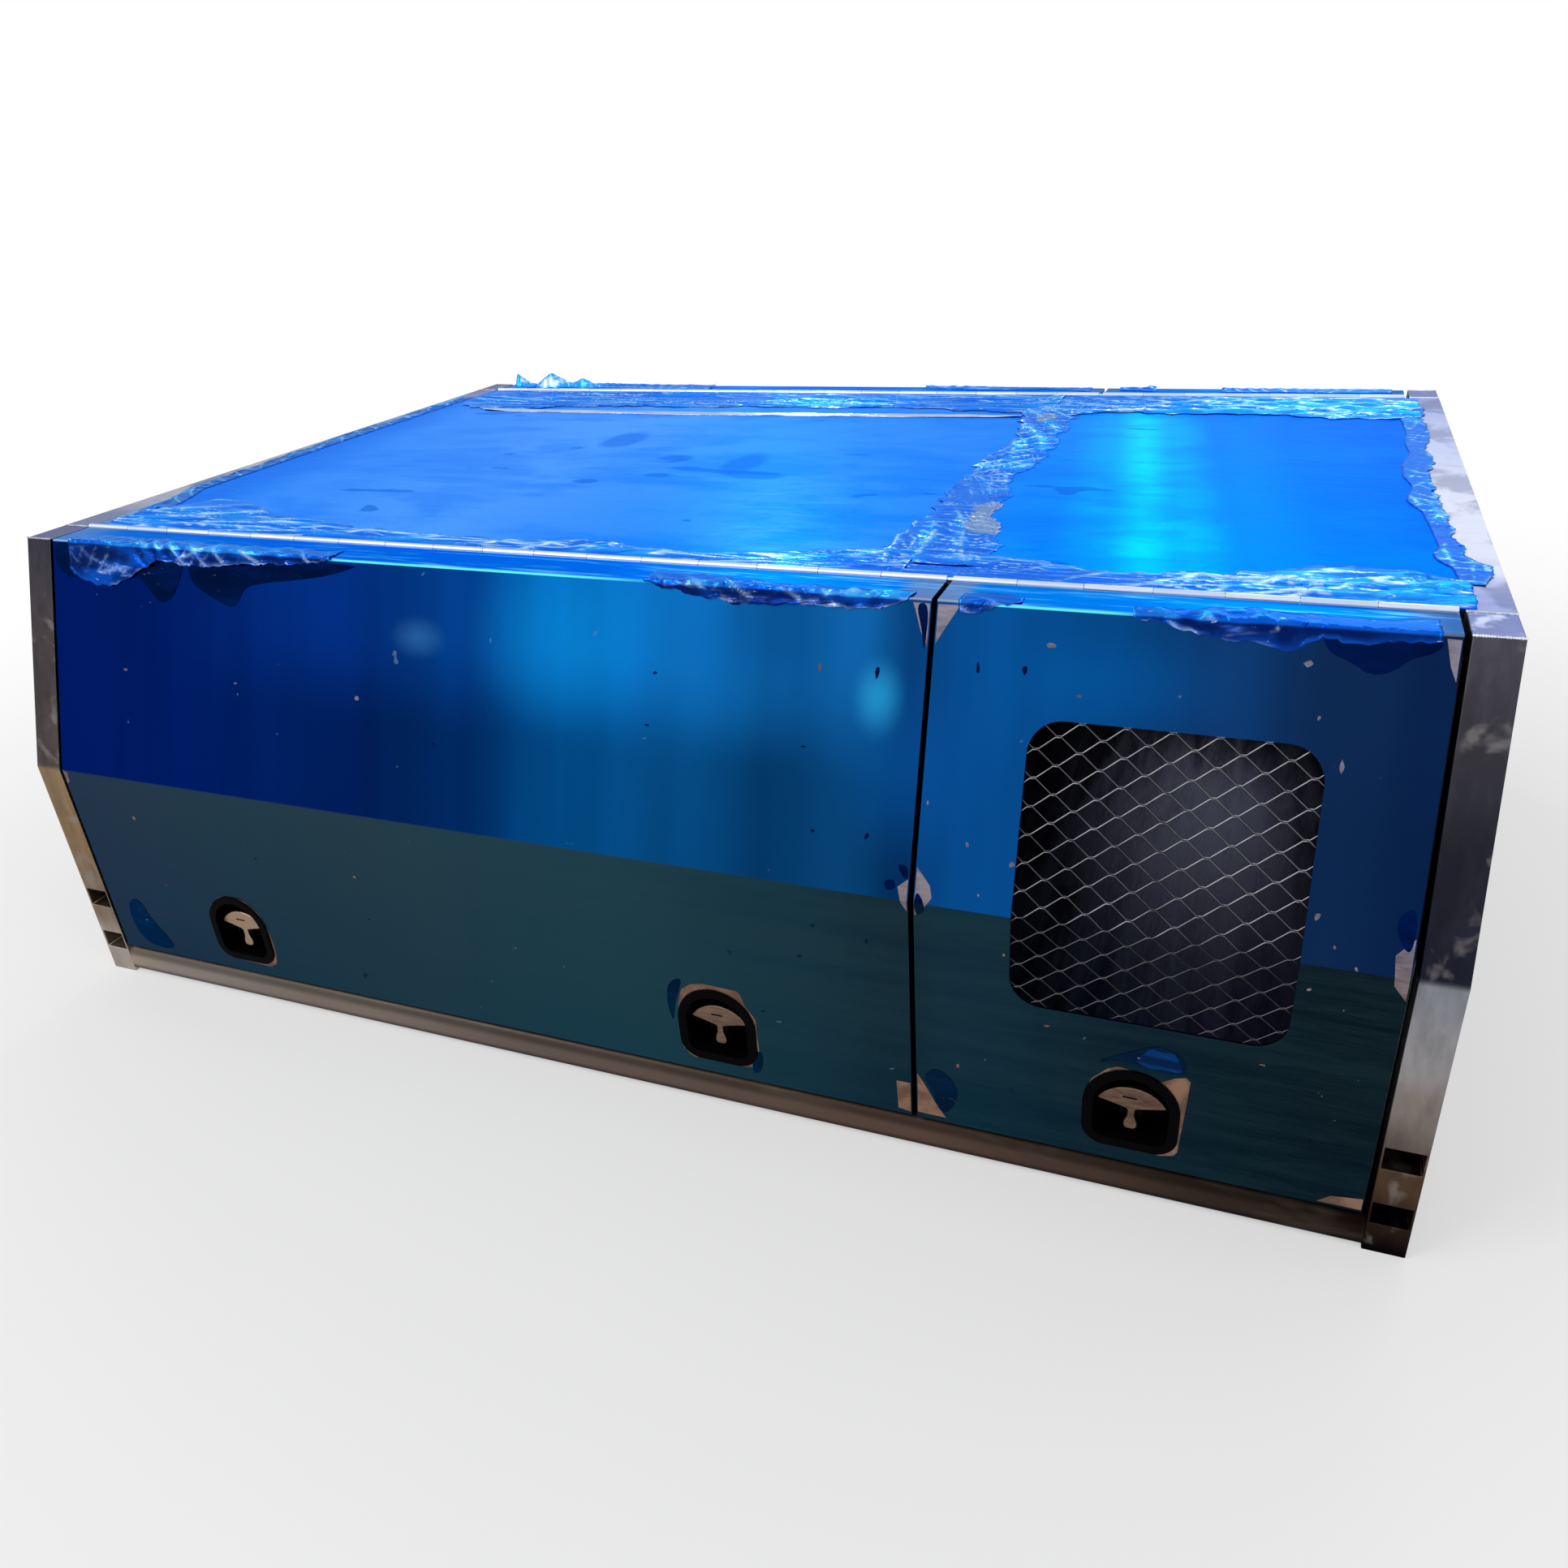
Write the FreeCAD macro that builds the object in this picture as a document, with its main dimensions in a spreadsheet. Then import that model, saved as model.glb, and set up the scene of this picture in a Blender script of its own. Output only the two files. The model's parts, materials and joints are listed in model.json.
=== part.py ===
import FreeCAD, Part
import math
import os
import Sketcher

# Ute canopy with four lift-up side doors, millimetres.
# X runs along the canopy, the near side is -Y, Z is up, and Z = 0 is the base.

os.makedirs("parts", exist_ok=True)
document = FreeCAD.newDocument("PickupCanopy")

# Driving sizes. Every other size and place is worked out from these.
DRIVING = {
    "length": 2340,
    "height": 842,
    "knee": 452,
    "base_half": 876,
    "waist_half": 884,
    "roof_half": 753,
    "hinge_half": 671,
    "split_x": 487,
    "split_gap": 8,
    "end_gap": 8,
    "post_width": 55,
    "post_depth": 78,
    "post_wall": 3,
    "socket_height": 37,
    "socket_low": 51,
    "socket_high": 149,
    "sill_height": 58,
    "sill_depth": 80,
    "sill_wall": 4,
    "sill_round": 18,
    "rail_size": 50,
    "rail_wall": 3,
    "sheet_metal": 3,
    "floor_sheet": 4,
    "floor_top": 54,
    "end_wall_inset": 12,
    "door_rise": 8,
    "door_sheet": 3,
    "frame_depth": 25,
    "frame_width": 30,
    "door_clearance": 5,
    "seal_thickness": 6,
    "seal_width": 20,
    "landing_sheet": 3,
    "landing_width": 30,
    "landing_rise": 32,
    "return_reach": 36,
    "mullion_width": 60,
    "mullion_depth": 40,
    "pin_radius": 3,
    "pin_clearance": 0.06,
    "knuckle_radius": 5.5,
    "knuckle_clearance": 0.5,
    "knuckle_pitch": 95,
    "hinge_leaf": 3,
    "leaf_drop": 36,
    "window_x": 804,
    "window_width": 358,
    "window_low": 312,
    "window_high": 706,
    "window_radius": 45,
    "mesh_pitch": 56,
    "mesh_row": 38,
    "mesh_sheet": 3,
    "mesh_bond": 10,
    "mesh_strand": 3,
    "mesh_edge": 15,
    "lock_height": 170,
    "lock_spread": 480,
    "bezel_width": 132,
    "bezel_height": 140,
    "bezel_drop": 8,
    "bezel_radius": 34,
    "bezel_lip": 12,
    "bezel_thickness": 3,
    "dish_depth": 50,
    "dish_wall": 2.5,
    "dish_clearance": 1,
    "tail_width": 96,
    "tail_height": 26,
    "tail_thickness": 9,
    "tail_rise": 20,
    "tail_dip": 14,
    "stem_width": 11,
    "stem_length": 22,
    "bulb_radius": 10,
    "handle_set": 13,
    "pin_drop": 18,
    "lock_pin_radius": 3,
}

sheet = document.addObject("Spreadsheet::Sheet", "Dims")
for row, (alias, amount) in enumerate(DRIVING.items(), 1):
    sheet.set(f"A{row}", alias)
    sheet.set(f"B{row}", str(amount))
    sheet.setAlias(f"B{row}", alias)


class Size:
    # A number together with the sheet formula that gives it.
    def __init__(self, value, text=None):
        self.value = value
        self.text = text if text is not None else repr(value)

    def __add__(self, other):
        other = as_size(other)
        return Size(self.value + other.value, f"({self.text} + {other.text})")

    def __sub__(self, other):
        other = as_size(other)
        return Size(self.value - other.value, f"({self.text} - {other.text})")

    def __mul__(self, other):
        other = as_size(other)
        return Size(self.value * other.value, f"({self.text} * {other.text})")

    def __truediv__(self, other):
        other = as_size(other)
        return Size(self.value / other.value, f"({self.text} / {other.text})")

    def __neg__(self):
        return Size(-self.value, f"(0 - {self.text})")


def as_size(number):
    return number if isinstance(number, Size) else Size(number)


def root(number):
    return Size(math.sqrt(number.value), f"sqrt({number.text})")


def turn_of(slope):
    return Size(math.degrees(math.atan(slope.value)), f"atan({slope.text})")


class Dims:
    pass


d = Dims()
for alias, amount in DRIVING.items():
    setattr(d, alias, Size(amount, f"Dims.{alias}"))

ZERO = Size(0)
HALF_LENGTH = d.length / 2
POST_FACE = HALF_LENGTH - d.post_width
DOOR_END = POST_FACE - d.end_gap
DOOR_LOW = d.sill_height + d.door_rise
DOOR_DEPTH = d.door_sheet + d.frame_depth
LANDING = DOOR_DEPTH + d.door_clearance + d.seal_thickness
HEADER_TOP = d.height - LANDING
HEADER_LOW = HEADER_TOP - d.landing_sheet
SEAL_FACE = DOOR_DEPTH + d.door_clearance
RAIL_FACE = d.hinge_half - d.knuckle_radius - d.knuckle_clearance - d.hinge_leaf
RAIL_TOP = d.height - d.sheet_metal
RETURN_END = RAIL_FACE + d.return_reach
FLANGE_END = d.hinge_half + d.knuckle_radius + d.knuckle_clearance * 2
SPLIT_LEFT = d.split_x - d.split_gap / 2
SPLIT_RIGHT = d.split_x + d.split_gap / 2
MULLION_LEFT = d.split_x - d.mullion_width / 2
MULLION_RIGHT = d.split_x + d.mullion_width / 2

# The side leans out a little to the knee, then in to the roof edge.
LOW_SLOPE = (d.waist_half - d.base_half) / d.knee
UP_SLOPE = (d.waist_half - d.roof_half) / (d.height - d.knee)
LOW_RUN = root(LOW_SLOPE * LOW_SLOPE + 1)
UP_RUN = root(UP_SLOPE * UP_SLOPE + 1)
LOW_HALF = LOW_SLOPE / (LOW_RUN + 1)
UP_HALF = UP_SLOPE / (UP_RUN + 1)


def low(z, inset):
    # A point of the lower side, inset square to it.
    return (-(d.waist_half - (d.knee - z) * LOW_SLOPE - inset * LOW_RUN), z)


def up(z, inset):
    # A point of the upper side, inset square to it.
    return (-(d.waist_half - (z - d.knee) * UP_SLOPE - inset * UP_RUN), z)


def knee(inset):
    # The mitred knee of a side line that is inset all the way, from the tangents of half the leans.
    drop = inset * (UP_HALF - LOW_HALF) / (as_size(1) - UP_HALF * LOW_HALF)
    return low(d.knee - drop, inset)


def edge(inset):
    # The roof edge of a side line that is inset all the way.
    return up(d.height - inset, inset)


def band(z_low, z_high, outer, inner):
    # A strip that follows the side between two insets.
    return [low(z_low, outer), knee(outer), up(z_high, outer), up(z_high, inner), knee(inner), low(z_low, inner)]


def block(y_low, y_high, z_low, z_high):
    return [(y_low, z_low), (y_high, z_low), (y_high, z_high), (y_low, z_high)]


def mirrored(corners):
    return corners + [(-across, height) for across, height in reversed(corners)]


def new_body(label):
    body = document.addObject("PartDesign::Body", label)
    body.Label = label
    return body


def sketch_on(body, role, offset):
    plane = next(feature for feature in body.Origin.OriginFeatures if feature.Role == role)
    sketch = body.newObject("Sketcher::SketchObject", body.Name + "_sketch")
    sketch.AttachmentSupport = (plane, [""])
    sketch.MapMode = "FlatFace"
    sketch.setExpression("AttachmentOffset.Base.z", offset.text)
    return sketch


def hold(sketch, kind, index, point, amount):
    number = sketch.addConstraint(Sketcher.Constraint(kind, index, point, amount.value))
    sketch.setExpression(f"Constraints[{number}]", amount.text)


def draw_polygon(sketch, corners):
    first = sketch.GeometryCount
    points = [FreeCAD.Vector(u.value, v.value, 0) for u, v in corners]
    for start, end in zip(points, points[1:] + points[:1]):
        sketch.addGeometry(Part.LineSegment(start, end), False)
    for index, (u, v) in enumerate(corners):
        following = first + (index + 1) % len(corners)
        sketch.addConstraint(Sketcher.Constraint("Coincident", first + index, 2, following, 1))
        hold(sketch, "DistanceX", first + index, 1, u)
        hold(sketch, "DistanceY", first + index, 1, v)


def draw_circle(sketch, u, v, radius):
    centre = FreeCAD.Vector(u.value, v.value, 0)
    index = sketch.addGeometry(Part.Circle(centre, FreeCAD.Vector(0, 0, 1), radius.value), False)
    hold(sketch, "DistanceX", index, 3, u)
    hold(sketch, "DistanceY", index, 3, v)
    number = sketch.addConstraint(Sketcher.Constraint("Radius", index, radius.value))
    sketch.setExpression(f"Constraints[{number}]", radius.text)


def join_arcs(sketch, arcs):
    # Arcs, each with its centre, radius, start and sweep, and a tangent line from each one to the next.
    first = sketch.GeometryCount
    count = len(arcs)
    for u, v, radius, start, sweep in arcs:
        circle = Part.Circle(FreeCAD.Vector(u.value, v.value, 0), FreeCAD.Vector(0, 0, 1), radius.value)
        sketch.addGeometry(Part.ArcOfCircle(circle, start, start + sweep), False)
    for index in range(count):
        arc = sketch.Geometry[first + index]
        following = sketch.Geometry[first + (index + 1) % count]
        sketch.addGeometry(Part.LineSegment(arc.EndPoint, following.StartPoint), False)
    for index, (u, v, radius, start, sweep) in enumerate(arcs):
        arc = first + index
        line = first + count + index
        sketch.addConstraint(Sketcher.Constraint("Tangent", arc, 2, line, 1))
        sketch.addConstraint(Sketcher.Constraint("Tangent", line, 2, first + (index + 1) % count, 1))
        hold(sketch, "DistanceX", arc, 3, u)
        hold(sketch, "DistanceY", arc, 3, v)
        number = sketch.addConstraint(Sketcher.Constraint("Radius", arc, radius.value))
        sketch.setExpression(f"Constraints[{number}]", radius.text)


def draw_rounded(sketch, left, right, bottom, top, radius):
    quarter = math.pi / 2
    centres = [
        (left + radius, bottom + radius),
        (right - radius, bottom + radius),
        (right - radius, top - radius),
        (left + radius, top - radius),
    ]
    join_arcs(sketch, [(u, v, radius, math.pi + quarter * turn, quarter) for turn, (u, v) in enumerate(centres)])


def draw_lock_plan(sketch, centre, level, inset):
    # The lock's outline: a round arch over two smaller lower corners, inset all round.
    quarter = math.pi / 2
    half = d.bezel_width / 2 - inset
    low_end = level - d.bezel_height / 2 - d.bezel_drop + inset
    arch_level = level + d.bezel_height / 2 - d.bezel_drop - d.bezel_width / 2
    corner = d.bezel_radius - inset
    join_arcs(sketch, [
        (centre - half + corner, low_end + corner, corner, math.pi, quarter),
        (centre + half - corner, low_end + corner, corner, math.pi + quarter, quarter),
        (centre, arch_level, half, 0, math.pi),
    ])


def pad(body, sketch, depth, reverse=False):
    feature = body.newObject("PartDesign::Pad", body.Name + "_pad")
    feature.Profile = sketch
    feature.setExpression("Length", depth.text)
    feature.Reversed = reverse
    body.Tip = feature
    return feature


def cut(body, sketch, depth, reverse=True):
    feature = body.newObject("PartDesign::Pocket", body.Name + "_cut")
    feature.Profile = sketch
    feature.setExpression("Length", depth.text)
    feature.Reversed = reverse
    body.Tip = feature
    return feature


def prism(body, corners, start, end):
    # A profile drawn in the YZ plane and drawn out along X.
    sketch = sketch_on(body, "YZ_Plane", start)
    draw_polygon(sketch, corners)
    return pad(body, sketch, end - start)


def tube(body, outer, inner, start, end):
    sketch = sketch_on(body, "YZ_Plane", start)
    draw_polygon(sketch, outer)
    draw_polygon(sketch, inner)
    return pad(body, sketch, end - start)


def hollow(body, corners, start, end):
    sketch = sketch_on(body, "YZ_Plane", start)
    draw_polygon(sketch, corners)
    return cut(body, sketch, end - start)


def rod(body, y, z, radius, start, end):
    sketch = sketch_on(body, "YZ_Plane", start)
    draw_circle(sketch, y, z, radius)
    return pad(body, sketch, end - start)


def bore(body, y, z, radius, start, end):
    sketch = sketch_on(body, "YZ_Plane", start)
    draw_circle(sketch, y, z, radius)
    return cut(body, sketch, end - start)


def repeat(body, features, step, copies):
    if copies < 2:
        return
    axis = next(feature for feature in body.Origin.OriginFeatures if feature.Role == "X_Axis")
    pattern = body.newObject("PartDesign::LinearPattern", body.Name + "_pattern")
    pattern.Originals = features
    pattern.Direction = (axis, [""])
    pattern.Occurrences = copies
    pattern.setExpression("Length", (step * (copies - 1)).text)
    body.Tip = pattern


def round_edges(body, radius, wanted):
    document.recompute()
    names = []
    for number, candidate in enumerate(body.Shape.Edges, 1):
        if wanted(candidate):
            names.append(f"Edge{number}")
    base = body.Tip
    fillet = body.newObject("PartDesign::Fillet", body.Name + "_round")
    fillet.Base = (base, names)
    fillet.setExpression("Radius", radius.text)
    body.Tip = fillet


def runs_along_x(candidate, y, z):
    box = candidate.BoundBox
    middle = candidate.CenterOfMass
    return box.XLength > box.YLength + box.ZLength and abs(middle.y - y.value) < 0.01 and abs(middle.z - z.value) < 0.01


def mirror(label, source, normal):
    copy = document.addObject("Part::Mirroring", label)
    copy.Label = label
    copy.Source = source
    copy.Normal = normal
    return copy


ACROSS = FreeCAD.Vector(0, 1, 0)
ALONG = FreeCAD.Vector(1, 0, 0)
nodes = []


def keep(*pieces):
    nodes.extend(pieces)


# Floor, sills and end frames


def make_floor():
    floor = new_body("floor_panel")
    edge_y = d.base_half - d.sill_depth
    prism(floor, block(-edge_y, edge_y, d.floor_top - d.floor_sheet, d.floor_top), -POST_FACE, POST_FACE)
    return floor


def make_sill():
    sill = new_body("side_sill_near")
    outer = block(-d.base_half, -(d.base_half - d.sill_depth), ZERO, d.sill_height)
    wall = d.sill_wall
    inside = block(-(d.base_half - wall), -(d.base_half - d.sill_depth + wall), wall, d.sill_height - wall)
    tube(sill, outer, inside, -POST_FACE, POST_FACE)
    for depth in (wall, ZERO):
        nose = depth - d.base_half
        for level in (depth, d.sill_height - depth):
            round_edges(sill, d.sill_round - depth, lambda candidate: runs_along_x(candidate, nose, level))
    top = d.sill_height + d.landing_rise
    foot = d.sill_height
    upstand = [low(foot, LANDING), low(foot, LANDING + d.landing_sheet), low(top, LANDING + d.landing_sheet)]
    upstand.append(low(top, LANDING))
    prism(sill, upstand, -POST_FACE, MULLION_LEFT)
    prism(sill, upstand, MULLION_RIGHT, POST_FACE)
    return sill


def make_end_bar(label, z_low, z_high, at, wall):
    # A closed tube from post to post, its ends cut to the posts' slope.
    bar = new_body(label)
    prism(bar, mirrored([at(z_low, d.post_depth), at(z_high, d.post_depth)]), POST_FACE, HALF_LENGTH)
    inner = [at(z_low + wall, d.post_depth + wall), at(z_high - wall, d.post_depth + wall)]
    hollow(bar, mirrored(inner), POST_FACE + wall, HALF_LENGTH - wall)
    return bar


def make_end_wall():
    wall = new_body("end_wall_right")
    outer_x = HALF_LENGTH - d.end_wall_inset
    side = [low(d.sill_height, d.post_depth), knee(d.post_depth), up(d.height - d.rail_size, d.post_depth)]
    prism(wall, mirrored(side), outer_x - d.sheet_metal, outer_x)
    return wall


def make_post():
    post = new_body("corner_post_near_right")
    prism(post, band(ZERO, d.height, ZERO, d.post_depth), POST_FACE, HALF_LENGTH)
    wall = d.post_wall
    inside = band(wall, d.height - wall, wall, d.post_depth - wall)
    hollow(post, inside, POST_FACE + wall, HALF_LENGTH - wall)
    for level in (d.socket_low, d.socket_high):
        for plate in (level - wall, level + d.socket_height):
            shelf = [low(plate, wall / 2), low(plate, d.post_depth - wall / 2)]
            shelf += [low(plate + wall, d.post_depth - wall / 2), low(plate + wall, wall / 2)]
            prism(post, shelf, POST_FACE + wall / 2, HALF_LENGTH - wall / 2)
        mouth = [low(level, -wall), low(level, d.post_depth - wall)]
        mouth += [low(level + d.socket_height, d.post_depth - wall), low(level + d.socket_height, -wall)]
        hollow(post, mouth, POST_FACE + wall, HALF_LENGTH - wall)
    landing = band(d.sill_height + d.landing_rise, HEADER_LOW, LANDING, LANDING + d.landing_sheet)
    prism(post, landing, POST_FACE - d.landing_width, POST_FACE)
    return post


# Roof


def make_roof():
    roof = new_body("roof_panel")
    prism(roof, block(-RAIL_FACE, RAIL_FACE, RAIL_TOP, d.height), -POST_FACE, POST_FACE)
    return roof


def make_rail():
    rail = new_body("hinge_rail_near")
    wall = d.rail_wall
    low_z = RAIL_TOP - d.rail_size
    outer = block(-RAIL_FACE, -(RAIL_FACE - d.rail_size), low_z, RAIL_TOP)
    inner = block(-(RAIL_FACE - wall), -(RAIL_FACE - d.rail_size + wall), low_z + wall, RAIL_TOP - wall)
    tube(rail, outer, inner, -POST_FACE, POST_FACE)
    header = block(up(HEADER_TOP, LANDING)[0], -RAIL_FACE, HEADER_LOW, HEADER_TOP)
    prism(rail, header, -POST_FACE, POST_FACE)
    return rail


def make_bow():
    bow = new_body("roof_bow")
    inner_y = RAIL_FACE - d.rail_size
    wall = d.rail_wall
    left = d.split_x - d.rail_size / 2
    right = d.split_x + d.rail_size / 2
    sketch = sketch_on(bow, "XZ_Plane", -inner_y)
    draw_polygon(sketch, block(left, right, RAIL_TOP - d.rail_size, RAIL_TOP))
    draw_polygon(sketch, block(left + wall, right - wall, RAIL_TOP - d.rail_size + wall, RAIL_TOP - wall))
    pad(bow, sketch, inner_y * 2)
    return bow


def make_mullion():
    mullion = new_body("door_mullion_near")
    prism(mullion, band(d.sill_height, HEADER_LOW, LANDING, LANDING + d.mullion_depth), MULLION_LEFT, MULLION_RIGHT)
    wall = d.rail_wall
    inside = band(d.sill_height + wall, HEADER_LOW - wall, LANDING + wall, LANDING + d.mullion_depth - wall)
    hollow(mullion, inside, MULLION_LEFT + wall, MULLION_RIGHT - wall)
    return mullion


def make_seals():
    # One rubber ring round each opening, on the landing that faces the door.
    seals = []
    for label, left, right in (
        ("seal_ring_large", -DOOR_END, MULLION_RIGHT - d.mullion_width / 2 - d.split_gap),
        ("seal_ring_small", MULLION_LEFT + d.mullion_width / 2 + d.split_gap, DOOR_END),
    ):
        seal = new_body(label)
        foot = d.sill_height + d.door_rise
        head = HEADER_TOP + d.seal_thickness
        side = band(foot, head, SEAL_FACE, LANDING)
        prism(seal, side, left, left + d.seal_width)
        sill_run = [low(foot, SEAL_FACE), low(foot, LANDING)]
        sill_run += [low(foot + d.seal_width, LANDING), low(foot + d.seal_width, SEAL_FACE)]
        prism(seal, sill_run, left, right)
        prism(seal, side, right - d.seal_width, right)
        header_end = up(HEADER_TOP, LANDING)[0]
        prism(seal, block(header_end, header_end + d.seal_width, HEADER_TOP, head), left, right)
        seals.append(seal)
    pair = document.addObject("Part::Compound", "door_seals_near")
    pair.Label = "door_seals_near"
    pair.Links = seals
    return pair


# Hinges


def knuckle_plan(start, end):
    # Fixed knuckles stand at both ends, so the count is odd.
    span = end - start
    pairs = max(1, round((span.value / d.knuckle_pitch.value - 1) / 2))
    return span / (2 * pairs + 1), pairs


def make_knuckles(body, first, step, copies, web_from, web_to):
    gap = d.knuckle_clearance
    barrel = rod(body, -d.hinge_half, d.height, d.knuckle_radius, first + gap, first + step - gap)
    half_web = d.knuckle_radius
    web = prism(body, block(web_from, web_to, d.height - half_web, d.height), first + gap, first + step - gap)
    repeat(body, [barrel, web], step * 2, copies)


def make_fixed_hinge():
    hinge = new_body("hinge_fixed_near")
    leaf_outer = RAIL_FACE + d.hinge_leaf
    leaf = block(-leaf_outer, -RAIL_FACE, d.height - d.leaf_drop, d.height)
    prism(hinge, leaf, -DOOR_END, DOOR_END)
    for start, end in ((-DOOR_END, SPLIT_LEFT), (SPLIT_RIGHT, DOOR_END)):
        step, pairs = knuckle_plan(start, end)
        make_knuckles(hinge, start, step, pairs + 1, -d.hinge_half, -RAIL_FACE)
    rod(hinge, -d.hinge_half, d.height, d.pin_radius, -DOOR_END, DOOR_END)
    return hinge


# Doors


def make_skin(label, left, right):
    skin = new_body(label)
    sheet_line = d.door_sheet
    section = [low(DOOR_LOW, ZERO), knee(ZERO), edge(ZERO), (-FLANGE_END, d.height)]
    section += [(-FLANGE_END, d.height - sheet_line), edge(sheet_line), knee(sheet_line), low(DOOR_LOW, sheet_line)]
    prism(skin, section, left, right)
    return_band = band(DOOR_LOW, d.height - DOOR_DEPTH, sheet_line / 2, DOOR_DEPTH)
    return_band[2:4] = [edge(sheet_line / 2), (-RETURN_END, d.height - sheet_line / 2)]
    return_band[4:4] = [(-RETURN_END, d.height - DOOR_DEPTH), edge(DOOR_DEPTH)]
    prism(skin, return_band, left, left + sheet_line)
    prism(skin, return_band, right - sheet_line, right)
    hem = [low(DOOR_LOW, sheet_line / 2), low(DOOR_LOW, DOOR_DEPTH)]
    hem += [low(DOOR_LOW + sheet_line, DOOR_DEPTH), low(DOOR_LOW + sheet_line, sheet_line / 2)]
    prism(skin, hem, left, right)
    step, pairs = knuckle_plan(left, right)
    make_knuckles(skin, left + step, step, pairs, -(FLANGE_END + d.hinge_leaf), -d.hinge_half)
    bore(skin, -d.hinge_half, d.height, d.pin_radius + d.pin_clearance, left, right)
    return skin


def lock_hole(skin, centre):
    sketch = sketch_on(skin, "XZ_Plane", d.waist_half + d.base_half)
    draw_lock_plan(sketch, centre, d.lock_height, d.bezel_lip - d.dish_clearance)
    cut(skin, sketch, d.waist_half + d.base_half - d.roof_half, reverse=False)


def window_hole(skin):
    left = d.window_x - d.window_width / 2
    right = d.window_x + d.window_width / 2
    sketch = sketch_on(skin, "XZ_Plane", d.waist_half + d.base_half)
    draw_rounded(sketch, left, right, d.window_low, d.window_high, d.window_radius)
    cut(skin, sketch, d.waist_half + d.base_half - d.roof_half, reverse=False)


def make_door_frame(label, left, right, uprights):
    frame = new_body(label)
    shell = d.door_sheet
    top_end = -RETURN_END
    post_band = band(DOOR_LOW + shell, d.height - DOOR_DEPTH, shell, DOOR_DEPTH)
    post_band[2:4] = [edge(shell), (top_end, d.height - shell)]
    post_band[4:4] = [(top_end, d.height - DOOR_DEPTH), edge(DOOR_DEPTH)]
    prism(frame, post_band, left + shell, left + shell + d.frame_width)
    foot = DOOR_LOW + shell
    bottom = [low(foot, shell), low(foot, DOOR_DEPTH)]
    bottom += [low(foot + d.frame_width, DOOR_DEPTH), low(foot + d.frame_width, shell)]
    prism(frame, bottom, left + shell, right - shell)
    prism(frame, post_band, right - shell - d.frame_width, right - shell)
    head = [edge(shell), (top_end, d.height - shell), (top_end, d.height - DOOR_DEPTH), edge(DOOR_DEPTH)]
    prism(frame, head, left + shell, right - shell)
    for centre in uprights:
        prism(frame, post_band, centre - d.frame_width / 2, centre + d.frame_width / 2)
    return frame


# Window mesh


def make_mesh_leaf(label, length, slope, direction):
    # One flat of expanded metal, drawn flat from the knee and tilted into place.
    leaf = new_body(label)
    half = d.window_width / 2 + d.mesh_edge
    near = ZERO if direction > 0 else -(length + d.mesh_edge)
    far = length + d.mesh_edge if direction > 0 else ZERO
    blank = sketch_on(leaf, "XZ_Plane", ZERO)
    draw_polygon(blank, block(-half, half, near, far))
    pad(leaf, blank, d.mesh_sheet, reverse=True)
    columns = 2 * math.ceil((d.window_width.value / d.mesh_pitch.value + 1) / 2) + 1
    rows = math.ceil((length.value + d.mesh_edge.value) / d.mesh_row.value) + 1
    tip = d.mesh_pitch / 2 - d.mesh_bond / 2
    crown = d.mesh_row / 2 - d.mesh_strand / 2
    flat = d.mesh_bond / 2
    holes = sketch_on(leaf, "XZ_Plane", d.mesh_sheet)
    first_x = -(d.mesh_pitch * ((columns - 1) / 2))
    for shift_x, shift_z in ((ZERO, ZERO), (d.mesh_pitch / 2, d.mesh_row / 2 * direction)):
        x = first_x + shift_x
        outline = [(x - tip, shift_z), (x - flat, shift_z - crown), (x + flat, shift_z - crown)]
        outline += [(x + tip, shift_z), (x + flat, shift_z + crown), (x - flat, shift_z + crown)]
        draw_polygon(holes, outline)
    pocket = cut(leaf, holes, d.mesh_sheet * 3, reverse=False)
    across = next(feature for feature in leaf.Origin.OriginFeatures if feature.Role == "X_Axis")
    upward = next(feature for feature in leaf.Origin.OriginFeatures if feature.Role == "Z_Axis")
    grid = leaf.newObject("PartDesign::MultiTransform", leaf.Name + "_grid")
    grid.Originals = [pocket]
    steps = []
    for axis, pitch, copies, backward in (
        (across, d.mesh_pitch, columns, False),
        (upward, d.mesh_row, rows, direction < 0),
    ):
        line = leaf.newObject("PartDesign::LinearPattern", leaf.Name + "_line")
        line.Direction = (axis, [""])
        line.Reversed = backward
        line.Occurrences = copies
        line.setExpression("Length", (pitch * (copies - 1)).text)
        steps.append(line)
    grid.Transformations = steps
    leaf.Tip = grid
    rim = sketch_on(leaf, "XZ_Plane", ZERO)
    width = d.window_width / 2 + d.mesh_strand
    border = length + d.mesh_strand
    draw_polygon(rim, block(-half, -width, near, far))
    draw_polygon(rim, block(width, half, near, far))
    reach = border if direction > 0 else -border
    cap = block(-width, width, reach, far) if direction > 0 else block(-width, width, near, reach)
    draw_polygon(rim, cap)
    pad(leaf, rim, d.mesh_sheet, reverse=True)
    y, z = knee(d.door_sheet)
    leaf.setExpression("Placement.Base.x", d.window_x.text)
    leaf.setExpression("Placement.Base.y", y.text)
    leaf.setExpression("Placement.Base.z", z.text)
    leaf.setExpression("Placement.Rotation.Axis.x", "1")
    leaf.setExpression("Placement.Rotation.Axis.y", "0")
    leaf.setExpression("Placement.Rotation.Axis.z", "0")
    leaf.setExpression("Placement.Rotation.Angle", turn_of(slope).text)
    return leaf


def make_mesh_rim(label, start, end):
    # The sheet's edge strip bends at the knee in one piece.
    rim = new_body(label)
    strip = band(d.knee - d.mesh_row, d.knee + d.mesh_row, d.door_sheet, d.door_sheet + d.mesh_sheet)
    prism(rim, strip, start, end)
    return rim


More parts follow.
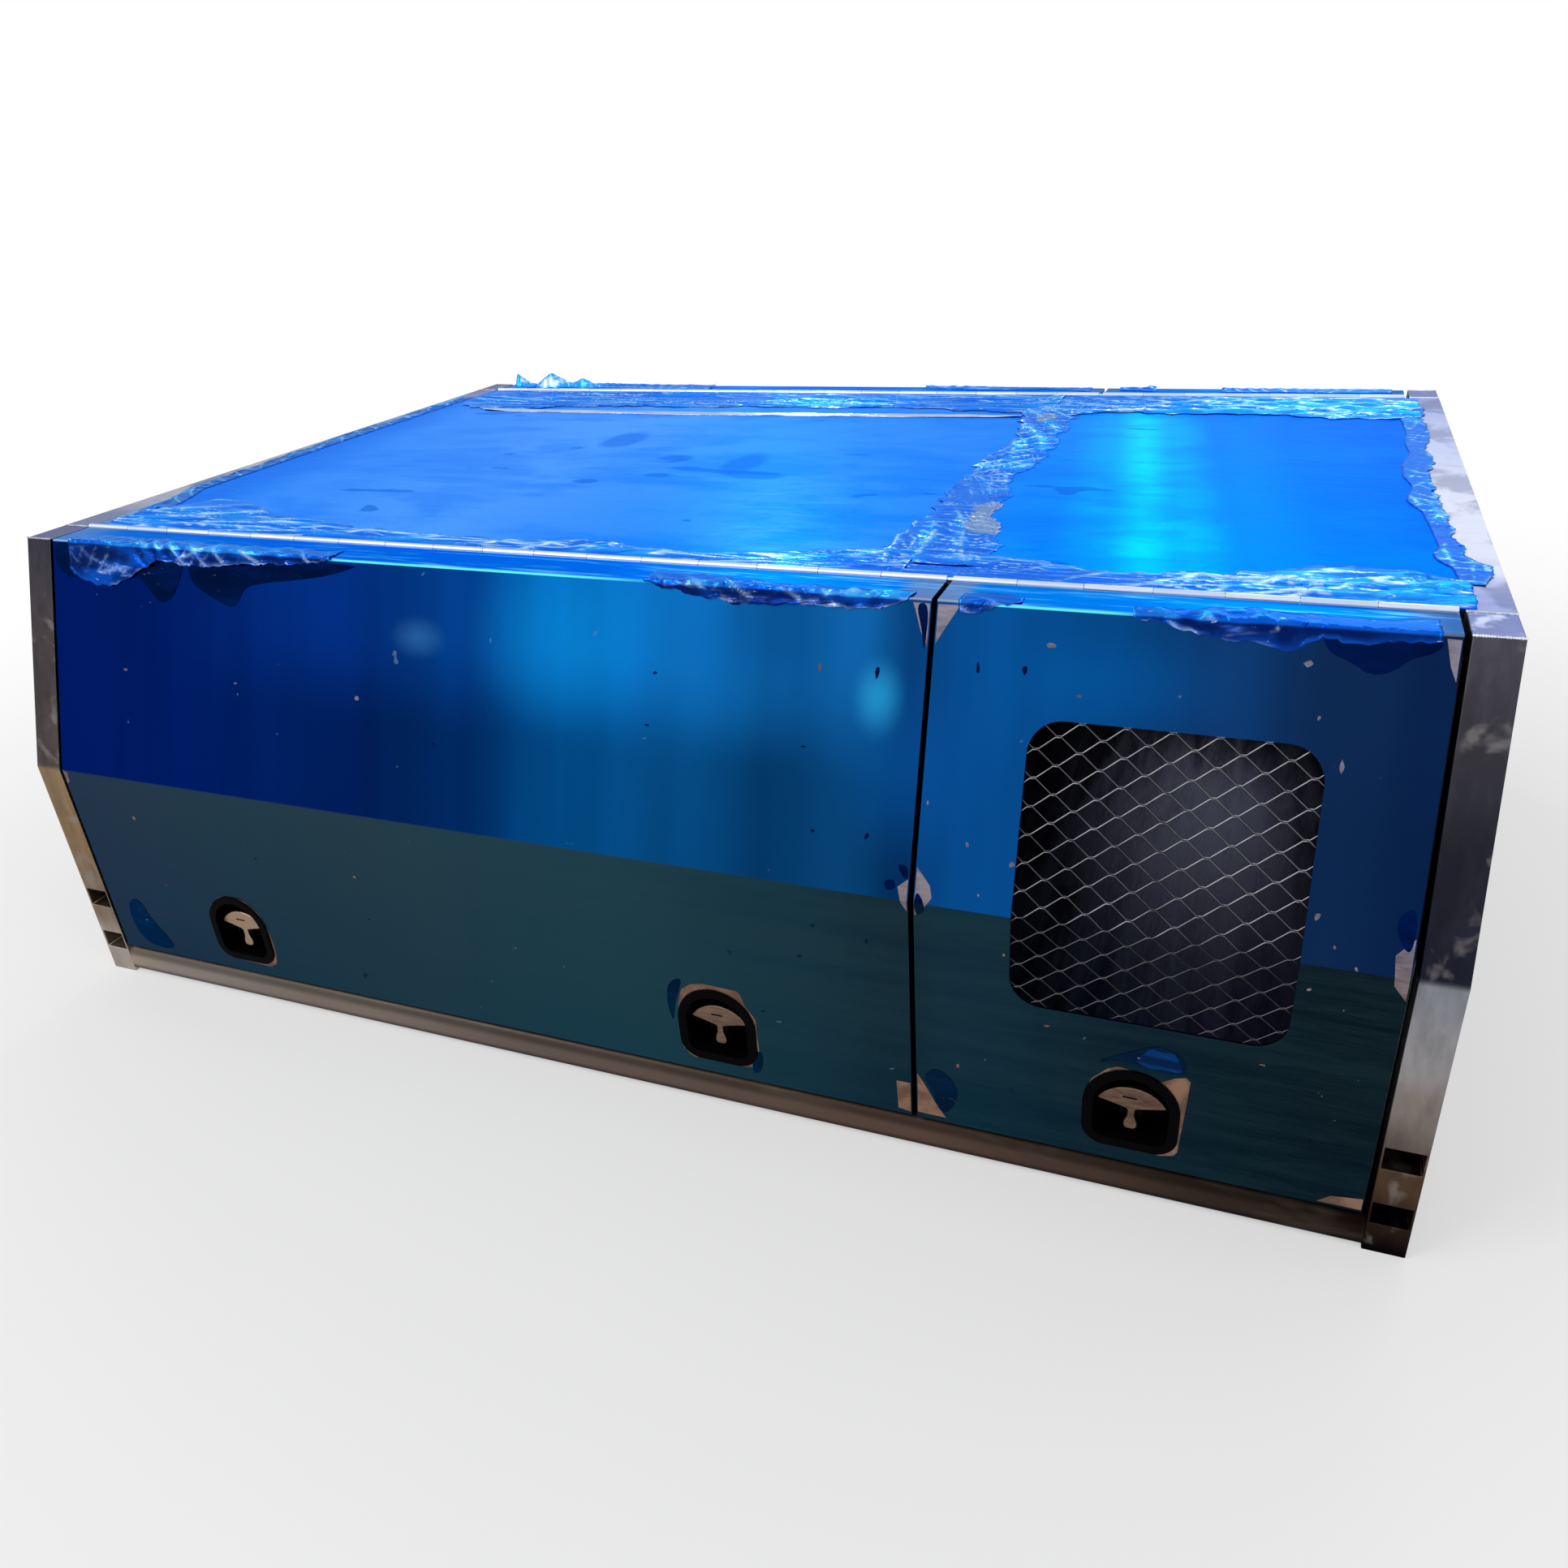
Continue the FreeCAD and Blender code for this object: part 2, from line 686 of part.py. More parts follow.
def make_mesh():
    upper_length = (d.window_high - d.knee) * UP_RUN
    lower_length = (d.knee - d.window_low) * LOW_RUN
    upper = make_mesh_leaf("mesh_upper_leaf", upper_length, -UP_SLOPE, 1)
    lower = make_mesh_leaf("mesh_lower_leaf", lower_length, LOW_SLOPE, -1)
    mesh = document.addObject("Part::MultiFuse", "window_mesh_near")
    mesh.Label = "window_mesh_near"
    half = d.window_width / 2 + d.mesh_edge
    width = d.window_width / 2 + d.mesh_strand
    left = make_mesh_rim("mesh_left_rim", d.window_x - half, d.window_x - width)
    right = make_mesh_rim("mesh_right_rim", d.window_x + width, d.window_x + half)
    mesh.Shapes = [upper, lower, left, right]
    return mesh


# Locks


def set_on_lower_side(body, x, level):
    y, z = low(level, ZERO)
    body.setExpression("Placement.Base.x", x.text)
    body.setExpression("Placement.Base.y", y.text)
    body.setExpression("Placement.Base.z", z.text)
    body.setExpression("Placement.Rotation.Axis.x", "1")
    body.setExpression("Placement.Rotation.Axis.y", "0")
    body.setExpression("Placement.Rotation.Axis.z", "0")
    body.setExpression("Placement.Rotation.Angle", turn_of(LOW_SLOPE).text)


def make_dish(label, x):
    # A pressed cup behind a flat bezel, with two ears for the handle's pin.
    dish = new_body(label)
    face = sketch_on(dish, "XZ_Plane", ZERO)
    draw_lock_plan(face, ZERO, ZERO, ZERO)
    pad(dish, face, d.bezel_thickness)
    cup = sketch_on(dish, "XZ_Plane", ZERO)
    draw_lock_plan(cup, ZERO, ZERO, d.bezel_lip)
    pad(dish, cup, d.dish_depth, reverse=True)
    well = sketch_on(dish, "XZ_Plane", d.bezel_thickness)
    draw_lock_plan(well, ZERO, ZERO, d.bezel_lip + d.dish_wall)
    cut(dish, well, d.bezel_thickness + d.dish_depth - d.dish_wall, reverse=False)
    ear_out = d.bulb_radius + d.knuckle_clearance
    ear_radius = d.lock_pin_radius * 2
    web = block(d.handle_set, d.dish_depth - d.dish_wall / 2, -(d.pin_drop + ear_radius), ear_radius - d.pin_drop)
    for side in (-1, 1):
        ends = sorted([ear_out * side, (ear_out + d.dish_wall * 2) * side], key=lambda size: size.value)
        prism(dish, web, *ends)
        rod(dish, d.handle_set, -d.pin_drop, ear_radius, *ends)
    shaft = ear_out + d.dish_wall
    rod(dish, d.handle_set, -d.pin_drop, d.lock_pin_radius, -shaft, shaft)
    set_on_lower_side(dish, x, d.lock_height)
    return dish


def make_handle(label, x):
    # A crescent tail over a stem that hangs on the pin and ends in a bulb.
    handle = new_body(label)
    front = -(d.handle_set - d.tail_thickness / 2)
    half = d.tail_width / 2
    radius = (half * half + d.tail_height * d.tail_height) / (d.tail_height * 2)
    crown = sketch_on(handle, "XZ_Plane", front)
    draw_circle(crown, ZERO, d.tail_rise + d.tail_height - radius, radius)
    pad(handle, crown, d.tail_thickness, reverse=True)
    trim = sketch_on(handle, "XZ_Plane", front)
    stem_half = d.stem_width / 2
    dip = d.tail_rise - d.tail_dip
    wide = radius * 2
    brim = d.tail_rise + d.tail_dip * (wide - half) / (half - stem_half)
    draw_polygon(trim, [(-wide, brim), (-stem_half, dip), (stem_half, dip), (wide, brim), (wide, -wide), (-wide, -wide)])
    cut(handle, trim, d.tail_thickness, reverse=False)
    stem = sketch_on(handle, "XZ_Plane", front)
    draw_polygon(stem, block(-stem_half, stem_half, -d.stem_length, d.tail_rise))
    pad(handle, stem, d.tail_thickness, reverse=True)
    bulb = sketch_on(handle, "XZ_Plane", front)
    draw_circle(bulb, ZERO, -d.stem_length, d.bulb_radius)
    pad(handle, bulb, d.tail_thickness, reverse=True)
    bore(handle, d.handle_set, ZERO, d.lock_pin_radius + d.pin_clearance, -d.stem_width, d.stem_width)
    set_on_lower_side(handle, x, d.lock_height - d.pin_drop)
    return handle


LARGE_CENTRE = (SPLIT_LEFT - DOOR_END) / 2
SMALL_CENTRE = (SPLIT_RIGHT + DOOR_END) / 2
LOCKS = {
    "large_left": LARGE_CENTRE - d.lock_spread,
    "large_right": LARGE_CENTRE + d.lock_spread,
    "small": SMALL_CENTRE,
}

floor_panel = make_floor()
sill_near = make_sill()
sill_far = mirror("side_sill_far", sill_near, ACROSS)
end_sill_right = make_end_bar("end_sill_right", ZERO, d.sill_height, low, d.sill_wall)
end_sill_left = mirror("end_sill_left", end_sill_right, ALONG)
end_wall_right = make_end_wall()
end_wall_left = mirror("end_wall_left", end_wall_right, ALONG)
end_rail_right = make_end_bar("roof_end_rail_right", d.height - d.rail_size, d.height, up, d.rail_wall)
end_rail_left = mirror("roof_end_rail_left", end_rail_right, ALONG)
post_near_right = make_post()
post_near_left = mirror("corner_post_near_left", post_near_right, ALONG)
post_far_right = mirror("corner_post_far_right", post_near_right, ACROSS)
post_far_left = mirror("corner_post_far_left", post_near_left, ACROSS)
roof_panel = make_roof()
rail_near = make_rail()
rail_far = mirror("hinge_rail_far", rail_near, ACROSS)
roof_bow = make_bow()
mullion_near = make_mullion()
mullion_far = mirror("door_mullion_far", mullion_near, ACROSS)
hinge_near = make_fixed_hinge()
hinge_far = mirror("hinge_fixed_far", hinge_near, ACROSS)
keep(floor_panel, sill_near, sill_far, end_sill_right, end_sill_left, end_wall_right, end_wall_left)
keep(end_rail_right, end_rail_left, post_near_right, post_near_left, post_far_right, post_far_left)
keep(roof_panel, rail_near, rail_far, roof_bow, mullion_near, mullion_far, hinge_near, hinge_far)
seals_near = make_seals()
keep(seals_near, mirror("door_seals_far", seals_near, ACROSS))

large_skin = make_skin("large_door_skin_near", -DOOR_END, SPLIT_LEFT)
small_skin = make_skin("small_door_skin_near", SPLIT_RIGHT, DOOR_END)
lock_hole(large_skin, LOCKS["large_left"])
lock_hole(large_skin, LOCKS["large_right"])
lock_hole(small_skin, LOCKS["small"])
window_hole(small_skin)
large_frame = make_door_frame("large_door_frame_near", -DOOR_END, SPLIT_LEFT, [LARGE_CENTRE])
small_frame = make_door_frame("small_door_frame_near", SPLIT_RIGHT, DOOR_END, [])
window_mesh = make_mesh()
for piece in (large_skin, small_skin, large_frame, small_frame, window_mesh):
    keep(piece, mirror(piece.Label.replace("near", "far"), piece, ACROSS))
for place, x in LOCKS.items():
    dish = make_dish(f"lock_dish_near_{place}", x)
    handle = make_handle(f"lock_handle_near_{place}", x)
    keep(dish, mirror(dish.Label.replace("near", "far"), dish, ACROSS))
    keep(handle, mirror(handle.Label.replace("near", "far"), handle, ACROSS))

document.recompute()
for item in document.Objects:
    if "Invalid" in item.State or "Error" in item.State:
        raise RuntimeError(f"{item.Label} didn't build: {item.State}")
for node in nodes:
    if node.Shape.isNull() or not node.Shape.isValid():
        raise RuntimeError(f"{node.Label} has no valid solid")
    node.Shape.exportStep(f"parts/{node.Label}.step")
    print(node.Label, len(node.Shape.Solids), round(node.Shape.Volume))
print(len(nodes), "nodes")
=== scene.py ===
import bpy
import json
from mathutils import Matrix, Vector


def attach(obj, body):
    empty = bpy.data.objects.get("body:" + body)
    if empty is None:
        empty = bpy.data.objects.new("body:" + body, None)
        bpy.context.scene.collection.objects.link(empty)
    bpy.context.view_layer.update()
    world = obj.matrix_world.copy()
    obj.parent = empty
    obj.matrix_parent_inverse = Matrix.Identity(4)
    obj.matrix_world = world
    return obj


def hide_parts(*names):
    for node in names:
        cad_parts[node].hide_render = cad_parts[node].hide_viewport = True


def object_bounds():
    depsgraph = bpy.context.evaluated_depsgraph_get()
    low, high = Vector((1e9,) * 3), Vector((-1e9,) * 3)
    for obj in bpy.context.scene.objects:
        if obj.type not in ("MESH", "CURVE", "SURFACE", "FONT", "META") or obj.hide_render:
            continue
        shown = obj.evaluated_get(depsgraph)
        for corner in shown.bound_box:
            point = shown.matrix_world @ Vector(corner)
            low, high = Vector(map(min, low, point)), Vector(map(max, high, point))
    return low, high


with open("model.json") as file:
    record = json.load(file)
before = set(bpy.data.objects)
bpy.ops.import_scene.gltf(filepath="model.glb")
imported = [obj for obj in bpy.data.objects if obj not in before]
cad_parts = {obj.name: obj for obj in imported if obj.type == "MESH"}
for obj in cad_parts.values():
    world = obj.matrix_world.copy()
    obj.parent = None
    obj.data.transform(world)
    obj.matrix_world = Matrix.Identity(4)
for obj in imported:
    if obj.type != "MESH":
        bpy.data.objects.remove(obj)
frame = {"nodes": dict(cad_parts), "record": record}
cadBox = [list(corner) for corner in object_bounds()]

import json
import math

import bmesh
import bpy
import numpy as np
from mathutils import Vector

print("canopy: frame loaded")

nodes = frame["nodes"]
bodyOf = {node: body for body, held in frame["record"]["behaviour"]["bodies"].items() for node in held}
sides = {"near": -1, "far": 1}

canopy = {
    "height": 0.842, "knee": 0.452, "baseHalf": 0.876, "waistHalf": 0.884, "roofHalf": 0.753, "hingeHalf": 0.671,
    "split": 0.487,
}
roofTop, knee = canopy["height"], canopy["knee"]
lowSlope = (canopy["waistHalf"] - canopy["baseHalf"]) / knee
upSlope = (canopy["waistHalf"] - canopy["roofHalf"]) / (roofTop - knee)
lowRun, upRun = math.sqrt(1 + lowSlope ** 2), math.sqrt(1 + upSlope ** 2)


def sidePoint(x, z, out=0.0, side=-1):
    # A point of the door side at that height, lifted off it by out
    slope = -lowSlope if z <= knee else upSlope
    lean = abs(z - knee) * abs(slope)
    run = math.sqrt(1 + slope * slope)
    return Vector((x, side * (canopy["waistHalf"] - lean + out / run), z + out * slope / run))


def metres(points):
    return [(first / 1000, second / 1000) for first, second in points]


# Small helpers for shader and geometry trees. They work in the tree that was begun last

here = {}


def shade(*colour):
    # 0-255 as seen on screen, to the linear values the sockets want
    def straight(value):
        value /= 255
        return value / 12.92 if value <= 0.04045 else ((value + 0.055) / 1.055) ** 2.4
    return tuple(straight(value) for value in colour) + (1.0,)


def join(value, socket):
    if isinstance(value, bpy.types.NodeSocket):
        here["tree"].links.new(value, socket)
    else:
        socket.default_value = value


def wire(kind, values=None, **settings):
    made = here["tree"].nodes.new(kind)
    for key, value in settings.items():
        setattr(made, key, value)
    for key, value in (values or {}).items():
        join(value, made.inputs[key])
    return made.outputs


def calc(operation, first, second=0.0, clamp=False):
    return wire("ShaderNodeMath", {0: first, 1: second}, operation=operation, use_clamp=clamp)[0]


def plus(first, second):
    return calc("ADD", first, second)


def minus(first, second, clamp=False):
    return calc("SUBTRACT", first, second, clamp)


def times(first, second, clamp=False):
    return calc("MULTIPLY", first, second, clamp)


def blend(factor, first, second, mode="MIX"):
    # A plain colour is a tuple, as seen on screen
    first, second = (shade(*colour) if isinstance(colour, tuple) else colour for colour in (first, second))
    return wire("ShaderNodeMix", {0: factor, 6: first, 7: second}, data_type="RGBA", blend_type=mode)[2]


def dimmed(base, tone):
    grey = wire("ShaderNodeCombineXYZ", {0: tone, 1: tone, 2: tone})[0]
    return blend(1.0, base, grey, "MULTIPLY")


def spread(value, low, high, start=0.0, end=1.0, kind="SMOOTHSTEP"):
    return wire("ShaderNodeMapRange", {0: value, 1: low, 2: high, 3: start, 4: end}, interpolation_type=kind)[0]


def between(value, low, risen, full, high):
    # 1 from risen to full, 0 below low and above high
    return times(spread(value, low, risen), spread(value, full, high, 1.0, 0.0))


def away(place, centre, size):
    # How far a place is from the middle of an ellipse, in its half sizes
    squares = [calc("POWER", calc("DIVIDE", minus(*pair), half), 2.0) for *pair, half in zip(place, centre, size)]
    return calc("SQRT", plus(*squares))


def stretched(x, y, z):
    return wire("ShaderNodeMapping", {"Vector": here["coords"], "Scale": (x, y, z)})[0]


def cloud(vector, scale, detail=3.0, rough=0.5, warp=0.0):
    values = {"Vector": vector, "Scale": scale, "Detail": detail, "Roughness": rough, "Distortion": warp}
    return wire("ShaderNodeTexNoise", values)["Fac"]


def attribute(name):
    return wire("ShaderNodeAttribute", attribute_name=name)["Fac"]


def colourRun(value, low, high, stops):
    # Colours along a length: stops are (place, red, green, blue)
    made = here["tree"].nodes.new("ShaderNodeValToRGB")
    join(spread(value, low, high, kind="LINEAR"), made.inputs[0])
    ramp = made.color_ramp
    ramp.interpolation = "EASE"
    while len(ramp.elements) > 1:
        ramp.elements.remove(ramp.elements[-1])
    for number, (place, *colour) in enumerate(stops):
        at = (place - low) / (high - low)
        element = ramp.elements[0] if number == 0 else ramp.elements.new(at)
        element.position = at
        element.color = shade(*colour)
    return made.outputs[0]


def newMaterial(name, **plain):
    # Returns the material, its object coordinates and their three parts
    made = bpy.data.materials.new(name)
    made.use_nodes = True
    here["tree"] = made.node_tree
    here["tree"].nodes.clear()
    here["shader"] = here["tree"].nodes.new("ShaderNodeBsdfPrincipled")
    for key, value in plain.items():
        here["shader"].inputs[key.replace("_", " ")].default_value = value
    here["end"] = here["tree"].nodes.new("ShaderNodeOutputMaterial").inputs[0]
    join(here["shader"].outputs[0], here["end"])
    here["coords"] = wire("ShaderNodeTexCoord")["Object"]
    return made, here["coords"], wire("ShaderNodeSeparateXYZ", {0: here["coords"]})


def dress(base, rough=None, height=None, strength=0.0, distance=0.0):
    # Colour for the material's shader and, where they are given, its roughness and relief
    inputs = here["shader"].inputs
    join(base, inputs["Base Color"])
    if rough is not None:
        join(rough, inputs["Roughness"])
    if height is not None:
        relief = {"Height": height, "Strength": strength, "Distance": distance}
        join(wire("ShaderNodeBump", relief)[0], inputs["Normal"])


def newGroup(name, amounts, results):
    # A shader group whose inputs are a vector and some amounts
    here["tree"] = group = bpy.data.node_groups.new(name, "ShaderNodeTree")
    group.interface.new_socket("Vector", in_out="INPUT", socket_type="NodeSocketVector")
    for label, value in amounts.items():
        group.interface.new_socket(label, in_out="INPUT", socket_type="NodeSocketFloat").default_value = value
    for label in results:
        group.interface.new_socket(label, in_out="OUTPUT", socket_type="NodeSocketFloat")
    return group, group.nodes.new("NodeGroupInput").outputs, group.nodes.new("NodeGroupOutput").inputs


# Brushed grain of rolled sheet: fine lines along the stretched axis, and slow blotches under them
grainGroup, given, result = newGroup("sheetGrain", {"Lines": 60.0, "Blotches": 4.0}, ("Shade", "Height"))
fineLines = cloud(given["Vector"], given["Lines"], 4.0, 0.6)
slowBlotch = cloud(given["Vector"], given["Blotches"], 3.0, 0.55, 0.6)
join(plus(times(fineLines, 0.35), times(slowBlotch, 0.65)), result["Shade"])
join(fineLines, result["Height"])

# Wrinkles of plastic film: ridges where warped noise crosses its middle
wrinkleGroup, given, result = newGroup("filmWrinkles", {"Size": 20.0, "Warp": 1.5}, ("Height",))
fromMiddle = calc("ABSOLUTE", minus(cloud(given["Vector"], given["Size"], 4.0, 0.55, given["Warp"]), 0.5))
join(minus(1.0, times(fromMiddle, 4.0), True), result["Height"])

# Patches where noise passes a level: smudges, bare places, scuffs, and where painted glints and sparks go
patchGroup, given, result = newGroup("patches", {"Size": 4.0, "Level": 0.6, "Edge": 0.03}, ("Mask",))
patchNoise = cloud(given["Vector"], given["Size"], 3.0, 0.55, 0.4)
join(spread(patchNoise, given["Level"], plus(given["Level"], given["Edge"])), result["Mask"])


def grained(vector, lines, blotches):
    return wire("ShaderNodeGroup", {"Vector": vector, "Lines": lines, "Blotches": blotches}, node_tree=grainGroup)


def wrinkled(vector, size, warp=0.8):
    return wire("ShaderNodeGroup", {"Vector": vector, "Size": size, "Warp": warp}, node_tree=wrinkleGroup)["Height"]


def patches(vector, size, level, edge):
    values = {"Vector": vector, "Size": size, "Level": level, "Edge": edge}
    return wire("ShaderNodeGroup", values, node_tree=patchGroup)["Mask"]


# Finishes

doorLook = {
    "skyReflections": [  # x, z, half width, half height, colour, strength
        (-0.06, 0.75, 0.17, 0.12, (10, 140, 216), 0.45), (0.42, 0.712, 0.035, 0.05, (40, 160, 214), 0.7),
        (-0.33, 0.735, 0.05, 0.03, (60, 130, 190), 0.35), (0.20, 0.70, 0.14, 0.08, (16, 112, 184), 0.25),
        (0.47, 0.62, 0.10, 0.12, (10, 92, 176), 0.4), (0.72, 0.76, 0.14, 0.06, (4, 92, 170), 0.35)],
    "upper": [
        (-1.10, 3, 26, 88), (-0.85, 4, 29, 96), (-0.50, 4, 42, 118), (-0.25, 4, 60, 136), (-0.06, 5, 104, 184),
        (0.12, 10, 98, 170), (0.28, 8, 76, 136), (0.40, 13, 90, 156), (0.47, 8, 64, 124), (0.56, 6, 74, 140),
        (0.70, 6, 73, 137), (0.85, 12, 54, 106), (1.00, 15, 42, 82), (1.10, 9, 32, 70)],
    "lower": [
        (-1.10, 58, 64, 70), (-0.60, 48, 66, 74), (0.00, 36, 68, 80), (0.30, 27, 58, 70), (0.47, 23, 46, 58),
        (0.55, 20, 50, 64), (0.80, 16, 36, 47), (1.10, 13, 25, 33)],
    "flange": [
        (-1.10, 150, 166, 208), (-0.98, 70, 144, 234), (-0.60, 27, 128, 240), (0.30, 30, 134, 240),
        (0.42, 34, 138, 240), (0.45, 146, 156, 190), (0.515, 146, 156, 190), (0.54, 20, 150, 240),
        (0.90, 34, 138, 236), (1.04, 60, 120, 200), (1.07, 112, 118, 142), (1.10, 100, 104, 124)],
    "kneeEdge": 0.0015, "flangeLevel": (0.8385, 0.8405), "pinHighlightReach": (0.6795, 0.6805),
    "rimHighlightLevel": (0.8372, 0.8384, 0.8404, 0.8412), "rimHighlightRuns": ((-0.62, -0.45, -0.08, 0.12), (0.515, 0.53, 0.70, 0.78)),
}


def doorFilm(name):
    # Blue protective film on the door sheet: deep blue above the knee, teal below, bright on the roof flange. The
    # colour runs are painted light: their changes along the sheet and between its faces stand for how light falls
    # there
    made, coords, (x, y, z) = newMaterial(name, Metallic=1.0, Specular_Tint=(0.10, 0.35, 0.80, 1))
    upper, lower, flange = (colourRun(x, -1.12, 1.12, doorLook[part]) for part in ("upper", "lower", "flange"))
    # Painted light: soft vertical streaks of reflection, and painted shade low in the middle of the upper sheet
    sheenStreak = cloud(stretched(5.0, 1.0, 0.35), 1.6, 2.0, 0.5)
    middle = times(spread(x, -0.95, -0.45), spread(x, 0.48, 0.49, 1.0, 0.25))
    paintedShadeFall = minus(1.08, times(middle, spread(z, 0.585, 0.745, 0.58, 0.06)))
    upper = dimmed(upper, times(paintedShadeFall, spread(sheenStreak, 0.3, 0.7, 0.86, 1.14)))
    # painted reflections of the sky: soft bright patches in the upper sheet
    for reflectionX, reflectionZ, wide, tall, colour, amount in doorLook["skyReflections"]:
        glow = spread(away((x, z), (reflectionX, reflectionZ), (wide, tall)), 0.0, 1.25, amount, 0.0)
        upper = blend(glow, upper, colour)
    rolled = grained(stretched(1.0, 1.0, 14.0), 28.0, 2.0)
    lower = blend(spread(rolled["Shade"], 0.35, 0.65, 0.0, 0.25), lower, (44, 70, 76))
    base = blend(spread(z, knee - doorLook["kneeEdge"], knee + doorLook["kneeEdge"]), lower, upper)
    base = blend(times(patches(coords, 38.0, 0.74, 0.02), 0.55), base, (96, 122, 150))
    base = blend(times(patches(stretched(1.0, 1.0, 0.6), 26.0, 0.75, 0.015), 0.5), base, (4, 22, 44))
    # Painted highlights: pale streaks along the film on the flange
    shine = grained(stretched(0.35, 6.0, 6.0), 40.0, 12.0)
    flange = blend(spread(shine["Shade"], 0.5, 0.68), flange, (150, 214, 255))
    base = blend(spread(z, *doorLook["flangeLevel"]), base, flange)
    # Painted highlight: a cyan line along the door's top edge
    shown = calc("MAXIMUM", *(between(x, *run) for run in doorLook["rimHighlightRuns"]))
    base = blend(times(between(z, *doorLook["rimHighlightLevel"]), shown), base, (96, 236, 250))
    # Painted highlight: the hinge bead near the pin is made near white
    base = blend(spread(calc("ABSOLUTE", y), *doorLook["pinHighlightReach"], 1.0, 0.0), base, (196, 210, 232))
    ripple = cloud(stretched(1.0, 1.0, 0.5), 9.0, 2.0, 0.4)
    dress(base, spread(sheenStreak, 0.3, 0.7, 0.24, 0.34), ripple, 0.25, 0.002)
    return made


roofLook = {
    "run": [
        (-1.12, 22, 110, 236), (-0.92, 84, 148, 252), (-0.55, 106, 164, 255), (-0.05, 76, 143, 253),
        (0.34, 74, 141, 252), (0.52, 38, 140, 251), (0.60, 24, 176, 254), (0.662, 16, 230, 254),
        (0.715, 24, 176, 254), (0.80, 26, 110, 246), (0.95, 22, 82, 238), (1.12, 12, 66, 228)],
    "marks": [  # x, y, half length, half depth, strength
        (-0.43, 0.12, 0.05, 0.08, 0.55), (-0.08, -0.06, 0.05, 0.10, 0.6), (-0.02, -0.14, 0.07, 0.035, 0.5),
        (-0.24, -0.03, 0.045, 0.03, 0.6), (-0.21, -0.17, 0.035, 0.02, 0.6), (-0.33, -0.23, 0.03, 0.02, 0.6),
        (-0.50, 0.03, 0.02, 0.015, 0.5), (-0.62, -0.04, 0.02, 0.012, 0.4), (0.12, 0.04, 0.03, 0.012, 0.4)],
    "slant": 0.12, "raggedBy": 0.09, "leftCorner": (-0.44, 0.55, 1.165), "rightEnd": (1.126, 1.129),
}


def roofFilm(name):
    made, coords, (x, y, _) = newMaterial(name, Metallic=1.0, Roughness=0.33, Specular_Tint=(0.30, 0.62, 1.0, 1))
    # Painted light: the roof film is bright as it faces up, and the cyan band in its colour run is a painted
    # reflection, slanted across the roof
    base = colourRun(plus(x, times(y, roofLook["slant"])), -1.2, 1.2, roofLook["run"])
    cells = grained(stretched(1.0, 2.2, 1.0), 9.0, 2.6)
    base = blend(spread(cells["Shade"], 0.42, 0.60, 0.0, 0.42), base, (22, 104, 240))
    base = blend(times(patches(stretched(1.4, 4.2, 1.0), 2.3, 0.645, 0.02), 0.62), base, (20, 84, 206))
    for markX, markY, wide, deep, amount in roofLook["marks"]:
        reach = plus(away((x, y), (markX, markY), (wide, deep)), times(cells["Shade"], 1.6))
        base = blend(spread(reach, 1.45, 1.85, amount, 0.0), base, (16, 82, 206))
    # Painted glints: small pale streaks over the film
    base = blend(times(patches(stretched(7.0, 24.0, 1.0), 2.2, 0.755, 0.03), 0.8), base, (150, 214, 255))
    # torn back at the near left corner and along both ends
    torn = plus(x, times(minus(cloud(coords, 16.0, 4.0, 0.65), 0.5), roofLook["raggedBy"]))
    cornerY, cornerSlope, leftEnd = roofLook["leftCorner"]
    leftLine = minus(times(minus(cornerY, y), cornerSlope), leftEnd)
    bare = calc("MAXIMUM", spread(minus(torn, leftLine), 0.0, 0.003, 1.0, 0.0), spread(torn, *roofLook["rightEnd"]))
    metal = grained(stretched(1.0, 8.0, 1.0), 34.0, 3.0)
    base = blend(bare, base, blend(spread(metal["Shade"], 0.35, 0.65), (108, 118, 156), (176, 184, 212)))
    wrinkles = wrinkled(stretched(1.0, 2.4, 1.0), 7.0)
    dress(base, None, plus(cells["Height"], wrinkles), 0.28, 0.0016)
    return made


